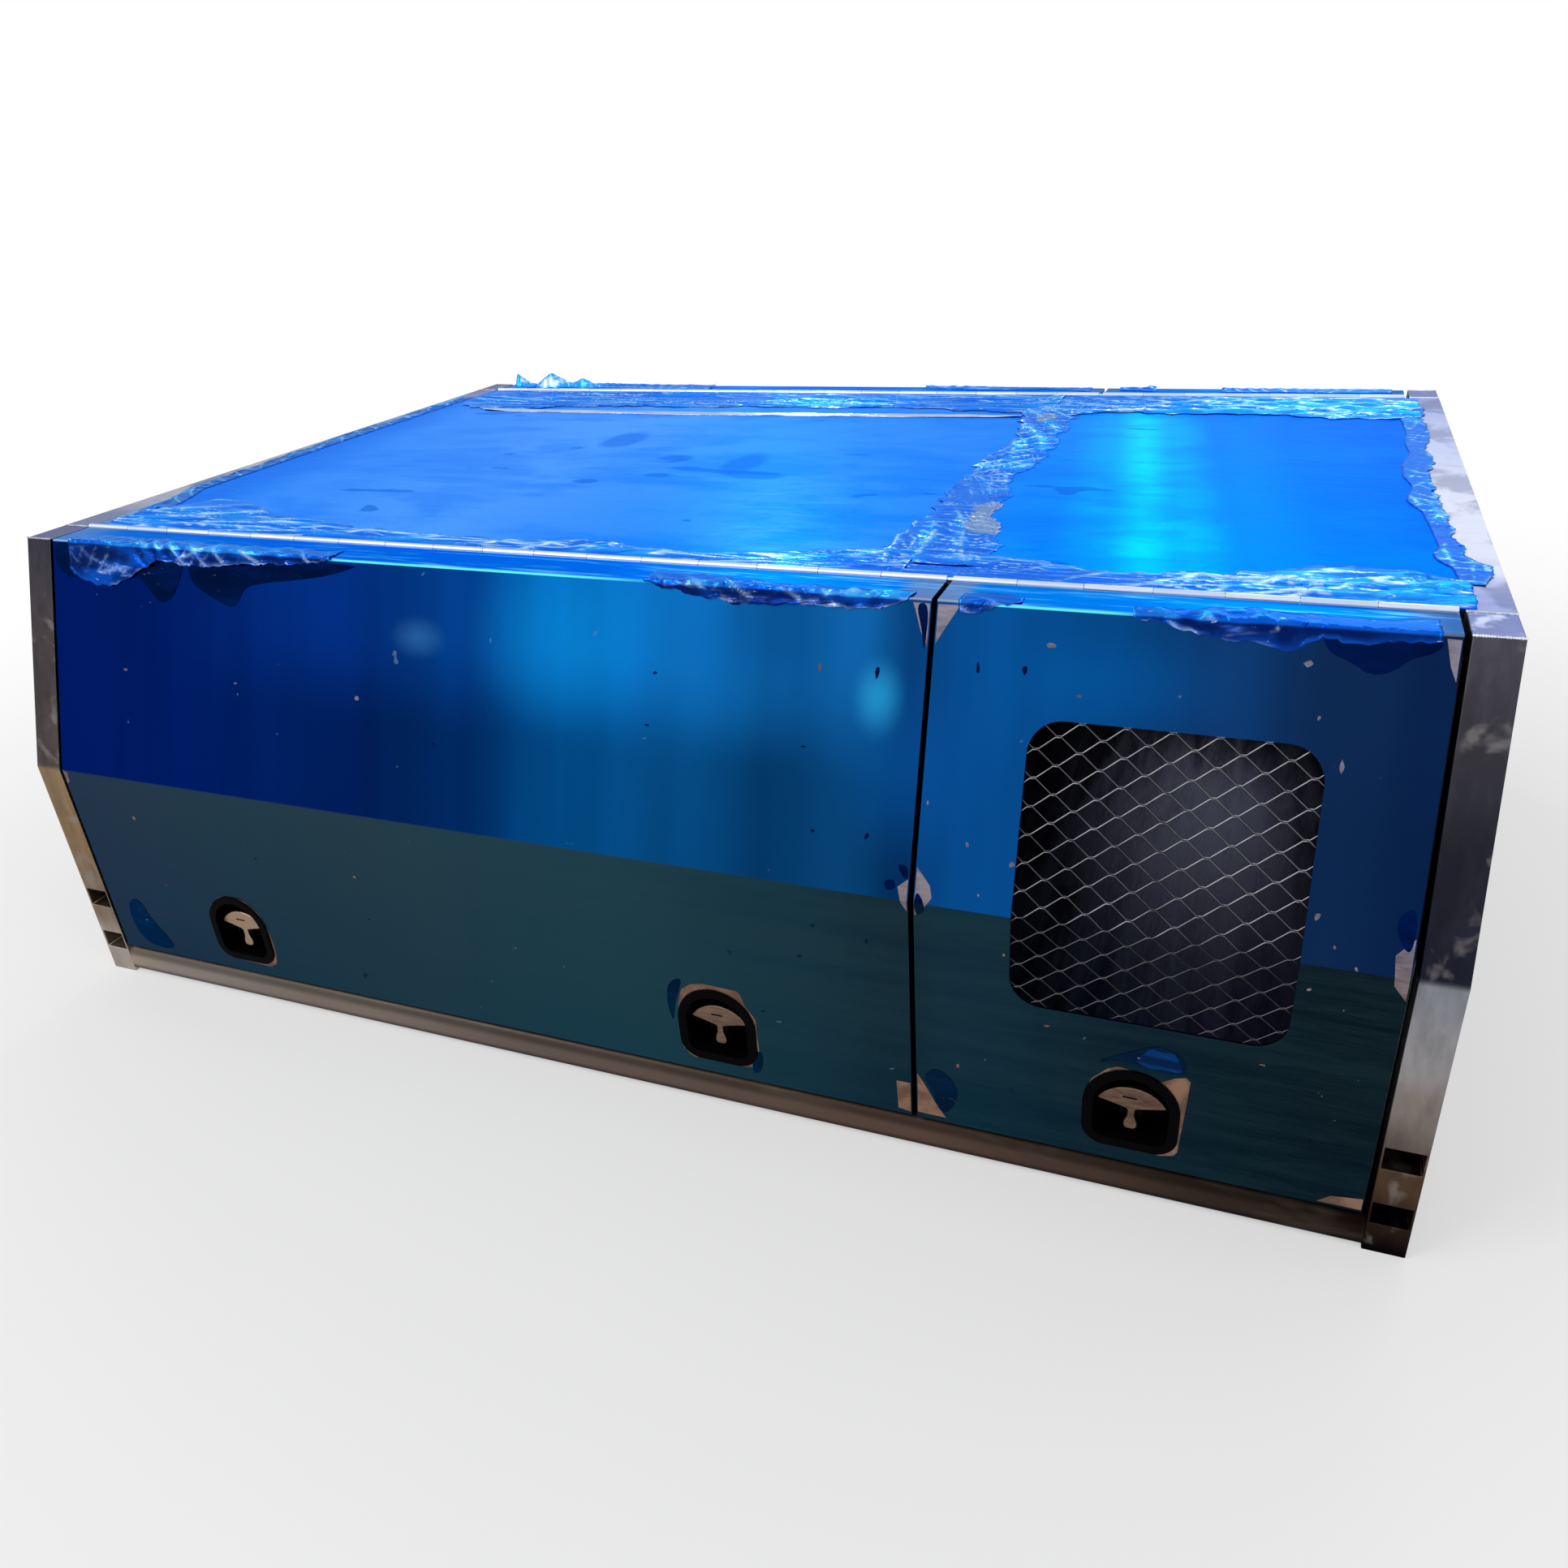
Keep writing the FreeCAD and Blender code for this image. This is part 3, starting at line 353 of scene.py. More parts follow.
def looseFilm(name, deep, bright, glint, shine=1.0, low=None, top=None, bareAt=(), metal=0.92, reach=(0.42, 0.82)):
    # Crumpled film: painted shade makes it deep blue in the folds and lighter where it is raised, and painted
    # highlights make pale lines along the crests that the lamps catch, and small sparks
    made, _, (x, y, z) = newMaterial(
        name, Metallic=metal, Specular_IOR_Level=0.3, Specular_Tint=(0.22, 0.60, 1.0, 1), Coat_Weight=0.05 * shine,
        Coat_Roughness=0.04)
    broad = cloud(stretched(0.4, 1.8, 1.8), 12.0, 3.0, 0.6, 0.6)
    depth = spread(plus(times(attribute("lift"), 0.6), times(broad, 0.8)), *reach)
    base = blend(depth, deep, bright)
    # Painted light: below the knee the film takes its low colours and on the roof flange its top colours, shaded and
    # lit copies for those faces
    for pair, level, below in ((low, knee, 1.0), (top, roofTop - 0.002, 0.0)):
        if pair:
            base = blend(spread(z, level - 0.002, level + 0.002, below, 1 - below), base, blend(depth, *pair))
    for bareX, bareY, wide, tall in bareAt:
        torn = plus(away((x, y), (bareX, bareY), (wide, tall)), times(broad, 1.6))
        base = blend(spread(torn, 1.5, 1.62, 1.0, 0.0), base, (158, 150, 184))
    # Painted highlights: pale lines along the crests and small white sparks
    lit = patches(stretched(0.5, 2.2, 2.2), 17.0, 0.44, 0.08)
    base = blend(times(times(attribute("crest"), lit), shine, True), base, glint)
    spark = patches(stretched(0.7, 2.0, 2.0), 85.0, 0.69, 0.05)
    base = blend(times(spark, 0.85 * shine), base, (225, 246, 255))
    dress(base, spread(broad, 0.3, 0.7, 0.12, 0.26), wrinkled(stretched(0.35, 1.6, 1.6), 26.0), 0.35, 0.003)
    return made


def millMetal(name, colour, lines=(1.0, 1.0, 10.0), rough=0.38):
    # Brushed aluminium: colour is a function of the grain, the coordinates and their three parts
    made, coords, parts = newMaterial(name, Metallic=1.0, Specular_Tint=(0.5, 0.5, 0.55, 1))
    grain = grained(stretched(*lines), 42.0, 3.4)
    roughness = spread(grain["Shade"], 0.3, 0.7, rough - 0.08, rough + 0.1)
    dress(colour(grain, coords, parts), roughness, grain["Height"], 0.2, 0.0006)
    return made


def twoTone(dark, pale):
    def colour(grain, coords, _):
        base = blend(spread(grain["Shade"], 0.36, 0.64), dark, pale)
        return blend(times(patches(coords, 22.0, 0.66, 0.06), 0.5), base, pale)
    return colour


postRuns = [
    [(0.0, 190, 180, 166), (0.06, 196, 186, 172), (0.14, 150, 134, 116), (0.30, 156, 130, 98), (0.448, 150, 126, 98),
     (0.456, 84, 76, 74), (0.65, 74, 67, 69), (0.84, 58, 57, 64)],
    [(0.0, 12, 8, 8), (0.05, 44, 32, 26), (0.13, 80, 62, 47), (0.26, 130, 122, 116), (0.34, 150, 148, 150),
     (0.446, 132, 134, 142), (0.456, 32, 33, 46), (0.58, 40, 41, 52), (0.72, 64, 63, 71), (0.84, 76, 74, 82)],
]


def postColour(_, coords, parts):
    # Painted light: cool grey above the knee, warmer and blotchy below it where it reflects the ground, lighter on the
    # left post than the right, darkest at the foot of the right one, and pale on the cap as its top is lit
    x, _, z = parts
    left, right = (colourRun(z, 0.0, 0.86, run) for run in postRuns)
    base = blend(spread(x, -0.2, 0.2), left, right)
    grain = grained(stretched(1.0, 1.0, 0.25), 60.0, 9.0)
    base = dimmed(base, spread(grain["Shade"], 0.35, 0.65, 0.72, 1.22))
    blotch = patches(coords, 16.0, 0.56, 0.12)
    base = blend(times(blotch, 0.3), base, (168, 162, 158))
    return blend(spread(z, 0.8405, 0.8415), base, blend(blotch, (112, 122, 164), (176, 184, 212)))


def sillColour(_, coords, parts):
    # Painted shade of the rounded face: dark along its top and its foot and lighter between, and painted shade makes
    # it darker towards the right
    x, _, z = parts
    base = colourRun(x, -1.2, 1.2, [
        (-1.17, 176, 158, 138), (-1.0, 156, 146, 138), (-0.62, 140, 128, 118), (-0.10, 112, 98, 90),
        (0.20, 104, 88, 78), (0.45, 100, 81, 70), (0.70, 82, 66, 57), (0.95, 58, 47, 40), (1.17, 26, 20, 17)])
    base = dimmed(base, spread(between(z, 0.004, 0.026, 0.030, 0.052), 0.0, 1.0, 0.34, 1.0))
    return blend(times(patches(stretched(0.5, 1.0, 2.0), 9.0, 0.5, 0.14), 0.14), base, (118, 104, 92))


def railColour(_, coords, parts):
    # Painted light: the rail is lighter along the middle of its length and darker at both ends
    base = colourRun(parts[1], -0.76, 0.76, [
        (-0.75, 140, 152, 194), (-0.60, 140, 150, 188), (-0.50, 188, 194, 212), (-0.20, 196, 202, 216),
        (0.30, 176, 186, 214), (0.75, 132, 148, 196)])
    return blend(times(patches(stretched(1.0, 0.6, 1.0), 13.0, 0.48, 0.14), 0.5), base, (96, 104, 138))


def bareColour(grain, coords, parts):
    # Bare sheet is cool high up and warm low down, as the light falls on it
    high = twoTone((84, 80, 92), (138, 132, 146))(grain, coords, parts)
    low = blend(spread(cloud(coords, 24.0, 3.0), 0.4, 0.6), (112, 86, 74), (148, 116, 98))
    return blend(spread(parts[2], 0.25, 0.55, 1.0, 0.0), high, low)


def meshColour(grain, coords, parts):
    # Painted shade: the strands that rise to the left catch less light than the others, and the strands below the knee
    # are darker
    base = twoTone((104, 104, 112), (156, 156, 164))(grain, coords, parts)
    rising = spread(attribute("rising"), 0.0, 1.0, 0.42, 1.15)
    return dimmed(base, times(spread(parts[2], 0.44, 0.47, 0.45, 1.0), rising))


def blackPlastic(name, dark=(2, 2, 3), pale=(6, 5, 8), rough=0.5):
    made, coords, _ = newMaterial(name, Metallic=0.0, IOR=1.46, Specular_IOR_Level=0.02)
    fine = grained(coords, 900.0, 26.0)
    roughness = spread(fine["Shade"], 0.3, 0.7, rough - 0.06, rough + 0.08)
    dress(blend(fine["Shade"], dark, pale), roughness, fine["Height"], 0.3, 0.0002)
    return made


def lockMetal(name):
    made, _, (x, _, _) = newMaterial(name, Metallic=1.0, Specular_Tint=(0.5, 0.45, 0.4, 1))
    fine = grained(stretched(1.0, 1.0, 5.0), 120.0, 24.0)
    base = blend(spread(fine["Shade"], 0.35, 0.65), (86, 66, 56), (122, 98, 84))
    # Painted light: the handles further left are paler, as the light falls on that side
    base = blend(times(spread(x, -1.0, 0.5, 1.0, 0.0), 0.7), base, (188, 164, 138))
    dress(base, spread(fine["Shade"], 0.3, 0.7, 0.26, 0.40), fine["Height"], 0.15, 0.0002)
    return made


finish = {
    "door": doorFilm("door film"),
    "roof": roofFilm("roof film"),
    # Painted light: the loose film finishes are lit and shaded copies of one film, bright for film on the roof, deep
    # blue on the doors and darkest where it stands for shade
    "filmSky": looseFilm("loose film roof", (8, 100, 234), (44, 160, 254), (226, 248, 255),
                         bareAt=((0.48, -0.36, 0.055, 0.11), (0.415, 0.40, 0.022, 0.05), (0.50, -0.20, 0.02, 0.03))),
    "filmEdge": looseFilm("loose film edge", (4, 62, 176), (30, 140, 246), (216, 244, 255), 0.8),
    "filmDeep": looseFilm("loose film door", (2, 25, 90), (8, 74, 182), (190, 224, 255), 0.5,
                          low=((4, 30, 84), (6, 60, 150)), top=((6, 84, 204), (60, 172, 252))),
    "filmShade": looseFilm("loose film shade", (0, 14, 50), (1, 24, 78), (6, 44, 110), 0.15,
                           low=((8, 28, 52), (12, 40, 72)), metal=1.0, reach=(0.3, 0.6)),
    "filmGlint": looseFilm("loose film glint", (3, 32, 90), (6, 96, 200), (206, 244, 255),
                           low=((3, 30, 70), (6, 96, 190)), reach=(0.34, 0.60)),
    "filmFoldHighlight": looseFilm("loose film fold", (196, 200, 226), (240, 232, 228), (255, 250, 244)),
    "post": millMetal("post metal", postColour),
    "sill": millMetal("sill metal", sillColour, (0.25, 6.0, 6.0), 0.42),
    "rail": millMetal("rail metal", railColour, (1.0, 6.0, 1.0)),
    # Painted shade: the metal inside the cabin is made dark, as little light gets in
    "inner": millMetal("inner metal", twoTone((34, 32, 38), (56, 54, 62))),
    "endSheet": millMetal("end sheet", twoTone((118, 118, 126), (150, 150, 158)), (1.0, 1.0, 0.3)),
    # Painted shade: the floor sheet inside the cabin is made dark
    "floorSheet": millMetal("floor sheet", twoTone((46, 46, 56), (74, 76, 90)), (6.0, 0.6, 1.0)),
    # Painted highlight: the hinge is made near white for the bright line that runs along it
    "hinge": millMetal("hinge metal", twoTone((176, 192, 222), (226, 234, 246)), (0.2, 6.0, 6.0), 0.28),
    "bare": millMetal("bare sheet", bareColour, (1.0, 1.0, 4.0)),
    "mesh": millMetal("mesh metal", meshColour, (1.0, 1.0, 1.0), 0.30),
    "rubber": blackPlastic("door rubber", (10, 10, 11), (20, 20, 22), 0.62),
    "lockBlack": blackPlastic("lock black"),
    "lockMetal": lockMetal("lock metal"),
    "weld": millMetal("weld bead", twoTone((150, 156, 176), (236, 240, 248)), (1.0, 1.0, 1.0), 0.3),
}
print("canopy: materials made")


# Helpers for meshes and pieces

def placed(name, data):
    obj = bpy.data.objects.new(name, data)
    bpy.context.scene.collection.objects.link(obj)
    return obj


def painted(mesh, material):
    mesh.materials.clear()
    mesh.materials.append(material)


def newPiece(name, mesh, body, material):
    painted(mesh, material)
    obj = placed(name, mesh)
    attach(obj, body)
    return obj


def meshFrom(name, points, faces=(), edges=()):
    mesh = bpy.data.meshes.new(name)
    mesh.from_pydata([tuple(point) for point in points], edges, faces)
    mesh.update()
    return mesh


def written(work, mesh):
    work.to_mesh(mesh)
    work.free()
    return mesh


def cutAt(work, place, normal, trim=False):
    everything = work.verts[:] + work.edges[:] + work.faces[:]
    bmesh.ops.bisect_plane(work, geom=everything, plane_co=place, plane_no=normal, clear_outer=trim)


def smooth(mesh, degrees):
    for polygon in mesh.polygons:
        polygon.use_smooth = True
    mesh.set_sharp_from_angle(angle=math.radians(degrees))


def bevelled(obj, width, segments, degrees):
    soft = obj.modifiers.new("corners", "BEVEL")
    soft.width, soft.segments, soft.limit_method = width, segments, "ANGLE"
    soft.angle_limit = math.radians(degrees)


def thickened(obj, thickness, offset):
    plate = obj.modifiers.new("thick", "SOLIDIFY")
    plate.thickness, plate.offset = thickness, offset


# CAD nodes: finish, and soft edges where the real ones are folded or rolled

nodeFinish = {
    "door_skin": "door", "roof_panel": "roof", "roof_end_rail": "rail", "corner_post": "post", "sill": "sill",
    "seals": "rubber", "end_wall": "endSheet", "floor_panel": "floorSheet", "hinge_fixed": "hinge",
    "dish": "lockBlack",
}
softEdges = {"corner_post": (0.0016, "bare_aluminium"), "dish": (0.0008, "lock_black")}
mergeWithin, flatWithin, softAngle = 2e-5, 0.5, 35


def softened(name, material, width, slot):
    # A merged copy of the node with its corners rounded a little stands for it
    mesh = nodes[name].data.copy()
    work = bmesh.new()
    work.from_mesh(mesh)
    bmesh.ops.remove_doubles(work, verts=work.verts, dist=mergeWithin)
    bmesh.ops.dissolve_limit(work, angle_limit=math.radians(flatWithin), verts=work.verts, edges=work.edges)
    obj = newPiece(name + "_soft", written(work, mesh), bodyOf[name], material)
    bevelled(obj, width, 2, softAngle)
    smooth(mesh, softAngle)
    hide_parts(name)


for name in nodes:
    part = next((part for part in nodeFinish if part in name), None)
    material = finish[nodeFinish.get(part, "inner")]
    if part in softEdges:
        softened(name, material, *softEdges[part])
    else:
        painted(nodes[name].data, material)
print("canopy: nodes painted")


# Geometry node trees

def growTree(name, inputs):
    here["tree"] = tree = bpy.data.node_groups.new(name, "GeometryNodeTree")
    for label, kind in inputs.items():
        tree.interface.new_socket(label, in_out="INPUT", socket_type="NodeSocket" + kind)
    tree.interface.new_socket("Geometry", in_out="OUTPUT", socket_type="NodeSocketGeometry")
    return tree, tree.nodes.new("NodeGroupInput").outputs


def endTree(geometry, metal):
    whole = wire("GeometryNodeRealizeInstances", {0: geometry})[0]
    wire("NodeGroupOutput", {0: wire("GeometryNodeSetMaterial", {"Geometry": whole, "Material": metal})[0]})


def grown(obj, tree, values):
    # Sets the tree's inputs by their identifiers and returns the evaluated result as a plain mesh
    grow = obj.modifiers.new("grow", "NODES")
    grow.node_group = tree
    for item in tree.interface.items_tree:
        if item.in_out == "INPUT" and item.name in values:
            grow[item.identifier] = values[item.name]
    shown = obj.evaluated_get(bpy.context.evaluated_depsgraph_get())
    mesh = bpy.data.meshes.new_from_object(shown)
    bpy.data.objects.remove(obj)
    return mesh


# Expanded metal in the small doors' windows

windowMesh = {
    "centreX": 0.804, "width": 0.358, "low": 0.312, "high": 0.706, "margin": 0.014, "behind": 0.0045, "bond": 0.0075,
    "steps": 6,
    "grow": {"Pitch": 0.056, "Row": 0.038, "Columns": 8, "Rows": 17, "Strand": 0.0020, "Sheet": 0.0013, "Lean": 0.6},
}


def expandedMetalTree():
    tree, given = growTree("expandedMetal", {
        "Cell": "Geometry", "Pitch": "Float", "Row": "Float", "Columns": "Int", "Rows": "Int", "Strand": "Float",
        "Sheet": "Float", "Lean": "Float", "Metal": "Material"})
    wide, tall = (times(given[size], minus(given[count], 1.0))
                  for size, count in (("Pitch", "Columns"), ("Row", "Rows")))
    grid = wire("GeometryNodeMeshGrid", {
        "Size X": wide, "Size Y": tall, "Vertices X": given["Columns"], "Vertices Y": given["Rows"]})["Mesh"]
    cells = wire("GeometryNodeInstanceOnPoints", {"Points": grid, "Instance": given["Cell"]})[0]
    strands = wire("GeometryNodeMeshToCurve", {"Mesh": wire("GeometryNodeRealizeInstances", {0: cells})[0]})[0]
    section = wire("GeometryNodeCurvePrimitiveQuadrilateral", {"Width": given["Strand"], "Height": given["Sheet"]})[0]
    lean = wire("ShaderNodeCombineXYZ", {2: given["Lean"]})[0]
    turned = wire("GeometryNodeTransform", {"Geometry": section, "Rotation": lean})[0]
    bars = wire("GeometryNodeCurveToMesh", {"Curve": strands, "Profile Curve": turned, "Fill Caps": True})[0]
    endTree(bars, given["Metal"])
    return tree


def meshCell(size, bondLong, steps):
    # One diamond: its upper and lower strand, with a flat bond at each corner
    half, rise, bond, gap = size["Pitch"] / 2, size["Row"] / 2, bondLong / 2, size["Strand"] * 0.5
    across = [-half, -half + bond]
    across += [-half + bond + (half - 2 * bond) * step / steps for step in range(1, steps)] + [-bond, 0]
    across += [-value for value in reversed(across[:-1])]
    points, edges = [], []
    for up in (1, -1):
        start = len(points)
        for x in across:
            part = min(max((half - bond - abs(x)) / (half - 2 * bond), 0), 1)
            points.append((x, up * (gap + (rise - 2 * gap) * part), 0))
        edges += [(start + number, start + number + 1) for number in range(len(across) - 1)]
    return meshFrom("meshCell", points, edges=edges)


meshTree = expandedMetalTree()
wide = windowMesh["width"] / 2 + windowMesh["margin"]
upper = (windowMesh["high"] - knee) * upRun + windowMesh["margin"]
lower = (knee - windowMesh["low"]) * lowRun + windowMesh["margin"]
pitch, row = windowMesh["grow"]["Pitch"], windowMesh["grow"]["Row"]
for sideName, side in sides.items():
    cell = placed("cell", meshCell(windowMesh["grow"], windowMesh["bond"], windowMesh["steps"]))
    flat = grown(cell, meshTree, {**windowMesh["grow"], "Metal": finish["mesh"]})
    work = bmesh.new()
    work.from_mesh(flat)
    for place, normal in (((wide, 0, 0), (1, 0, 0)), ((-wide, 0, 0), (-1, 0, 0)),
                          ((0, upper, 0), (0, 1, 0)), ((0, -lower, 0), (0, -1, 0))):
        cutAt(work, place, normal, True)
    cutAt(work, (0, 0, 0), (0, 1, 0))
    rising = work.verts.layers.float.new("rising")
    for vert in work.verts:
        x, along, depth = vert.co
        slant, drop = along / row - x / pitch, along / row + x / pitch
        vert[rising] = 1.0 if abs(slant - round(slant)) < abs(drop - round(drop)) else 0.0
        height = knee + along / (upRun if along > 0 else lowRun)
        vert.co = sidePoint(windowMesh["centreX"] + x, height, depth - windowMesh["behind"], side)
    bmesh.ops.recalc_face_normals(work, faces=work.faces)
    piece = newPiece(f"expanded_mesh_{sideName}", written(work, flat), f"small_door_{sideName}", finish["mesh"])
    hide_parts(f"window_mesh_{sideName}")
print("canopy: window mesh made")


# Lock handles

lock = {
    "height": 0.170, "places": {"large_left": -0.792, "large_right": 0.168, "small": 0.799},
    "tailHalf": 0.048, "tailTop": 0.0244, "tipLevel": -0.0022, "arcSteps": 28,
    "tips": ((-0.0016, -0.0022), (0.0004, -0.0004)),
    "stem": [(-0.030, -0.0082), (-0.012, -0.0130), (-0.0070, -0.0146), (-0.0054, -0.016), (-0.0052, -0.025),
             (-0.0062, -0.030), (-0.0086, -0.036), (-0.0098, -0.041), (-0.0094, -0.046), (-0.0072, -0.0495),
             (-0.0035, -0.0505)],
    "front": 0.0085, "thick": 0.009, "bevel": 0.0022,
    "slotAt": (-0.003, 0.0065), "slotSize": (0.020, 0.0028), "slotTurn": 0.03, "slotPoints": 16,
    "slotOut": 0.0002, "slotThick": 0.0006,
}


def handleOutline():
    half, top, tip, steps = lock["tailHalf"], lock["tailTop"], lock["tipLevel"], lock["arcSteps"]
    sag = top - tip
    radius = (half * half + sag * sag) / (2 * sag)
    reach = math.asin(half / radius)
    angles = [reach * (1 - step / (steps / 2)) for step in range(1, steps)]
    arc = [(radius * math.sin(angle), top - radius + radius * math.cos(angle)) for angle in angles]
    tips = [(half + x, tip + z) for x, z in lock["tips"]]
    line = tips + arc + [(-x, z) for x, z in reversed(tips)]
    return line + lock["stem"] + [(-x, z) for x, z in reversed(lock["stem"])]


def slotOutline():
    # A long hole with round ends, turned a little
    (middleX, middleZ), (wide, tall) = lock["slotAt"], lock["slotSize"]
    line = []
    for step in range(lock["slotPoints"]):
        angle = 2 * math.pi * step / lock["slotPoints"]
        x = (wide - tall) / 2 * (1 if math.cos(angle) > 0 else -1) + tall / 2 * math.cos(angle)
        line.append((middleX + x, middleZ + tall / 2 * math.sin(angle) - lock["slotTurn"] * x))
    return line


def lockPoints(outline, centre, out, side):
    return [sidePoint(centre + x, lock["height"] + z, out, side) for x, z in outline]


outline, slotLine = handleOutline(), slotOutline()
count, order = len(outline), list(range(len(slotLine)))
for sideName, side in sides.items():
    for place, centre in lock["places"].items():
        work = bmesh.new()
        front, back = ([work.verts.new(point) for point in lockPoints(outline, centre, -lock["front"] - depth, side)]
                       for depth in (0.0, lock["thick"]))
        work.faces.new(front)
        work.faces.new(list(reversed(back)))
        for number in range(count):
            after = (number + 1) % count
            work.faces.new((front[number], back[number], back[after], front[after]))
        bmesh.ops.recalc_face_normals(work, faces=work.faces)
        mesh = written(work, bpy.data.meshes.new("handle"))
        body = f"lock_handle_{sideName}_{place}"
        piece = newPiece(f"handle_{sideName}_{place}", mesh, body, finish["lockMetal"])
        bevelled(piece, lock["bevel"], 3, 50)
        smooth(mesh, 60)
        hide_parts(body)
        points = lockPoints(slotLine, centre, lock["slotOut"] - lock["front"], side)
        slotMesh = meshFrom("slot", points, [order if side < 0 else order[::-1]])
        keyhole = newPiece(f"key_slot_{sideName}_{place}", slotMesh, body, finish["lockBlack"])
        thickened(keyhole, lock["slotThick"], -1)
print("canopy: locks made")


# Loose film

def softNoise(x, y, seed):
    # Smooth values from -1 to 1 on a grid of random numbers
    size = 64
    table = np.random.default_rng(seed).uniform(-1, 1, (size, size))
    cellX, cellY = np.floor(x).astype(int), np.floor(y).astype(int)
    partX, partY = x - cellX, y - cellY
    partX, partY = partX * partX * (3 - 2 * partX), partY * partY * (3 - 2 * partY)

    def row(j):
        first, second = (table[(cellX + i) % size, (cellY + j) % size] for i in (0, 1))
        return first * (1 - partX) + second * partX
    return row(0) * (1 - partY) + row(1) * partY


def creases(x, y, seed, folds):
    # Sharp folds in several directions: each is a warped triangle wave. Returns the height and where the crests are
    random = np.random.default_rng(seed)
    total, crest = np.zeros_like(x), np.zeros_like(x)
    for number, (spacing, lift, angle, scatter, reach) in enumerate(folds):
        turn = math.radians(angle + random.normal(0, scatter))
        warp = softNoise(x / (spacing * reach), y / (spacing * 2.5), seed + 17 * number + 1)
        wave = (x * math.sin(turn) + y * math.cos(turn)) / spacing + warp * 0.9 + random.uniform()
        ridge = 1 - np.abs(wave % 1 - 0.5) * 2
        local = softNoise(x / (spacing * reach * 1.4), y / (spacing * 3), seed + 31 * number + 2)
        share = np.clip(0.45 + 0.9 * local, 0.04, 1.2)
        total += lift * ridge ** 1.4 * share
        crest = np.maximum(crest, np.clip((ridge - 0.80) / 0.2, 0, 1) * np.clip(share * 1.3, 0, 1))
    return total, crest


# spacing, height, direction and its scatter in degrees, and how far a fold runs, in spacings
longFolds = [(0.036, 0.0040, 0, 2, 11), (0.021, 0.0024, 2, 3, 9), (0.060, 0.0034, 24, 8, 5), (0.013, 0.0010, -6, 8, 6)]
openFolds = [(0.050, 0.0058, 20, 20, 4), (0.033, 0.0042, -42, 16, 4), (0.020, 0.0022, 70, 20, 4),
             (0.011, 0.0010, 10, 30, 3)]
torn = [(0.056, 0.0058, 6, 8, 4), (0.034, 0.0042, -34, 12, 3), (0.023, 0.0024, 58, 14, 3)]
faint = [(0.03, 0.0006, 0, 3, 8)]

filmSheet = {
    "step": 0.0042, "thickness": 0.00025, "clear": 0.0004, "jitter": 0.0012, "jitterSize": 0.006,
    "stuckRun": 0.016, "settleRun": 0.014, "rimRun": 0.016, "shapeRun": 0.012, "curlSize": 0.045,
    "glintSize": 0.03, "glint": 0.8, "fullLift": 0.009, "sharp": 28,
}


def makeFilm(name, body, material, length, edges, place, folds, seed, amount=1.0, curl=0.004, shape=None,
             settle=0.1):
    # length is (from, to) along the sheet in mm, edges give its free and its stuck border, and place puts
    # (along, across, lift) in space
    start, end = (value / 1000 for value in length)
    columns = max(8, int((end - start) / filmSheet["step"]))
    along = np.linspace(start, end, columns + 1)
    first, last = edges(along)
    span = np.abs(last - first)
    widest = float(np.max(span))
    rows = max(4, int(widest / filmSheet["step"]))
    part = np.linspace(0, 1, rows + 1)[None, :]
    s = np.repeat(along[:, None], rows + 1, axis=1)
    w = first[:, None] + (last - first)[:, None] * part
    s = s + filmSheet["jitter"] * softNoise(s / filmSheet["jitterSize"], w / filmSheet["jitterSize"], seed + 5)
    height, crest = creases(s, w, seed, folds)
    fromStuck = (1 - part) * span[:, None]
    stuck = np.clip(fromStuck / filmSheet["stuckRun"], 0, 1)
    height = height * amount * stuck * np.clip(part * span[:, None] / filmSheet["settleRun"], settle, 1)
    crest = crest * np.clip(stuck * 2, 0, 1)
    rim = np.clip(1 - part * widest / filmSheet["rimRun"], 0, 1) ** 2
    waves = softNoise(s / filmSheet["curlSize"], w / filmSheet["curlSize"], seed + 9)
    height = height + curl * rim * stuck * (0.5 + 0.5 * waves)
    if shape is not None:
        height = height + shape(s, w) * np.clip(fromStuck / filmSheet["shapeRun"], 0, 1)
    lift = filmSheet["clear"] + np.maximum(height, 0)
    ring = rows + 1
    faces = []
    for i in range(columns):
        for j in range(rows):
            a, b, c, d = i * ring + j, (i + 1) * ring + j, (i + 1) * ring + j + 1, i * ring + j + 1
            faces += [(a, b, c), (a, c, d)] if (i + j) % 2 else [(a, b, d), (b, c, d)]
    mesh = meshFrom(name, place(s, w, lift).reshape(-1, 3).tolist(), faces)
    # Painted highlights: a glint mask along the crests and the free rim, which the material paints pale
    bright = softNoise(s / filmSheet["glintSize"], w / filmSheet["glintSize"], seed + 21)
    rimGlint = rim * np.clip(0.3 + bright, 0, 1) * filmSheet["glint"]
    shown = {"crest": np.maximum(crest, rimGlint), "lift": height / filmSheet["fullLift"]}
    for label, values in shown.items():
        values = np.clip(values, 0, 1).astype(np.float32).ravel()
        mesh.attributes.new(label, "FLOAT", "POINT").data.foreach_set("value", values)
    cornerS, cornerW, cornerLift = s[:1, :1], w[:1, :1], lift[:1, :1]
    outward = place(cornerS, cornerW, cornerLift + 0.01) - place(cornerS, cornerW, cornerLift)
    facing = sum((Vector(polygon.normal) * polygon.area for polygon in mesh.polygons), Vector())
    if facing.dot(Vector(outward.reshape(3))) < 0:
        mesh.flip_normals()
    smooth(mesh, filmSheet["sharp"])
    piece = newPiece(name, mesh, body, material)
    thickened(piece, filmSheet["thickness"], 1)


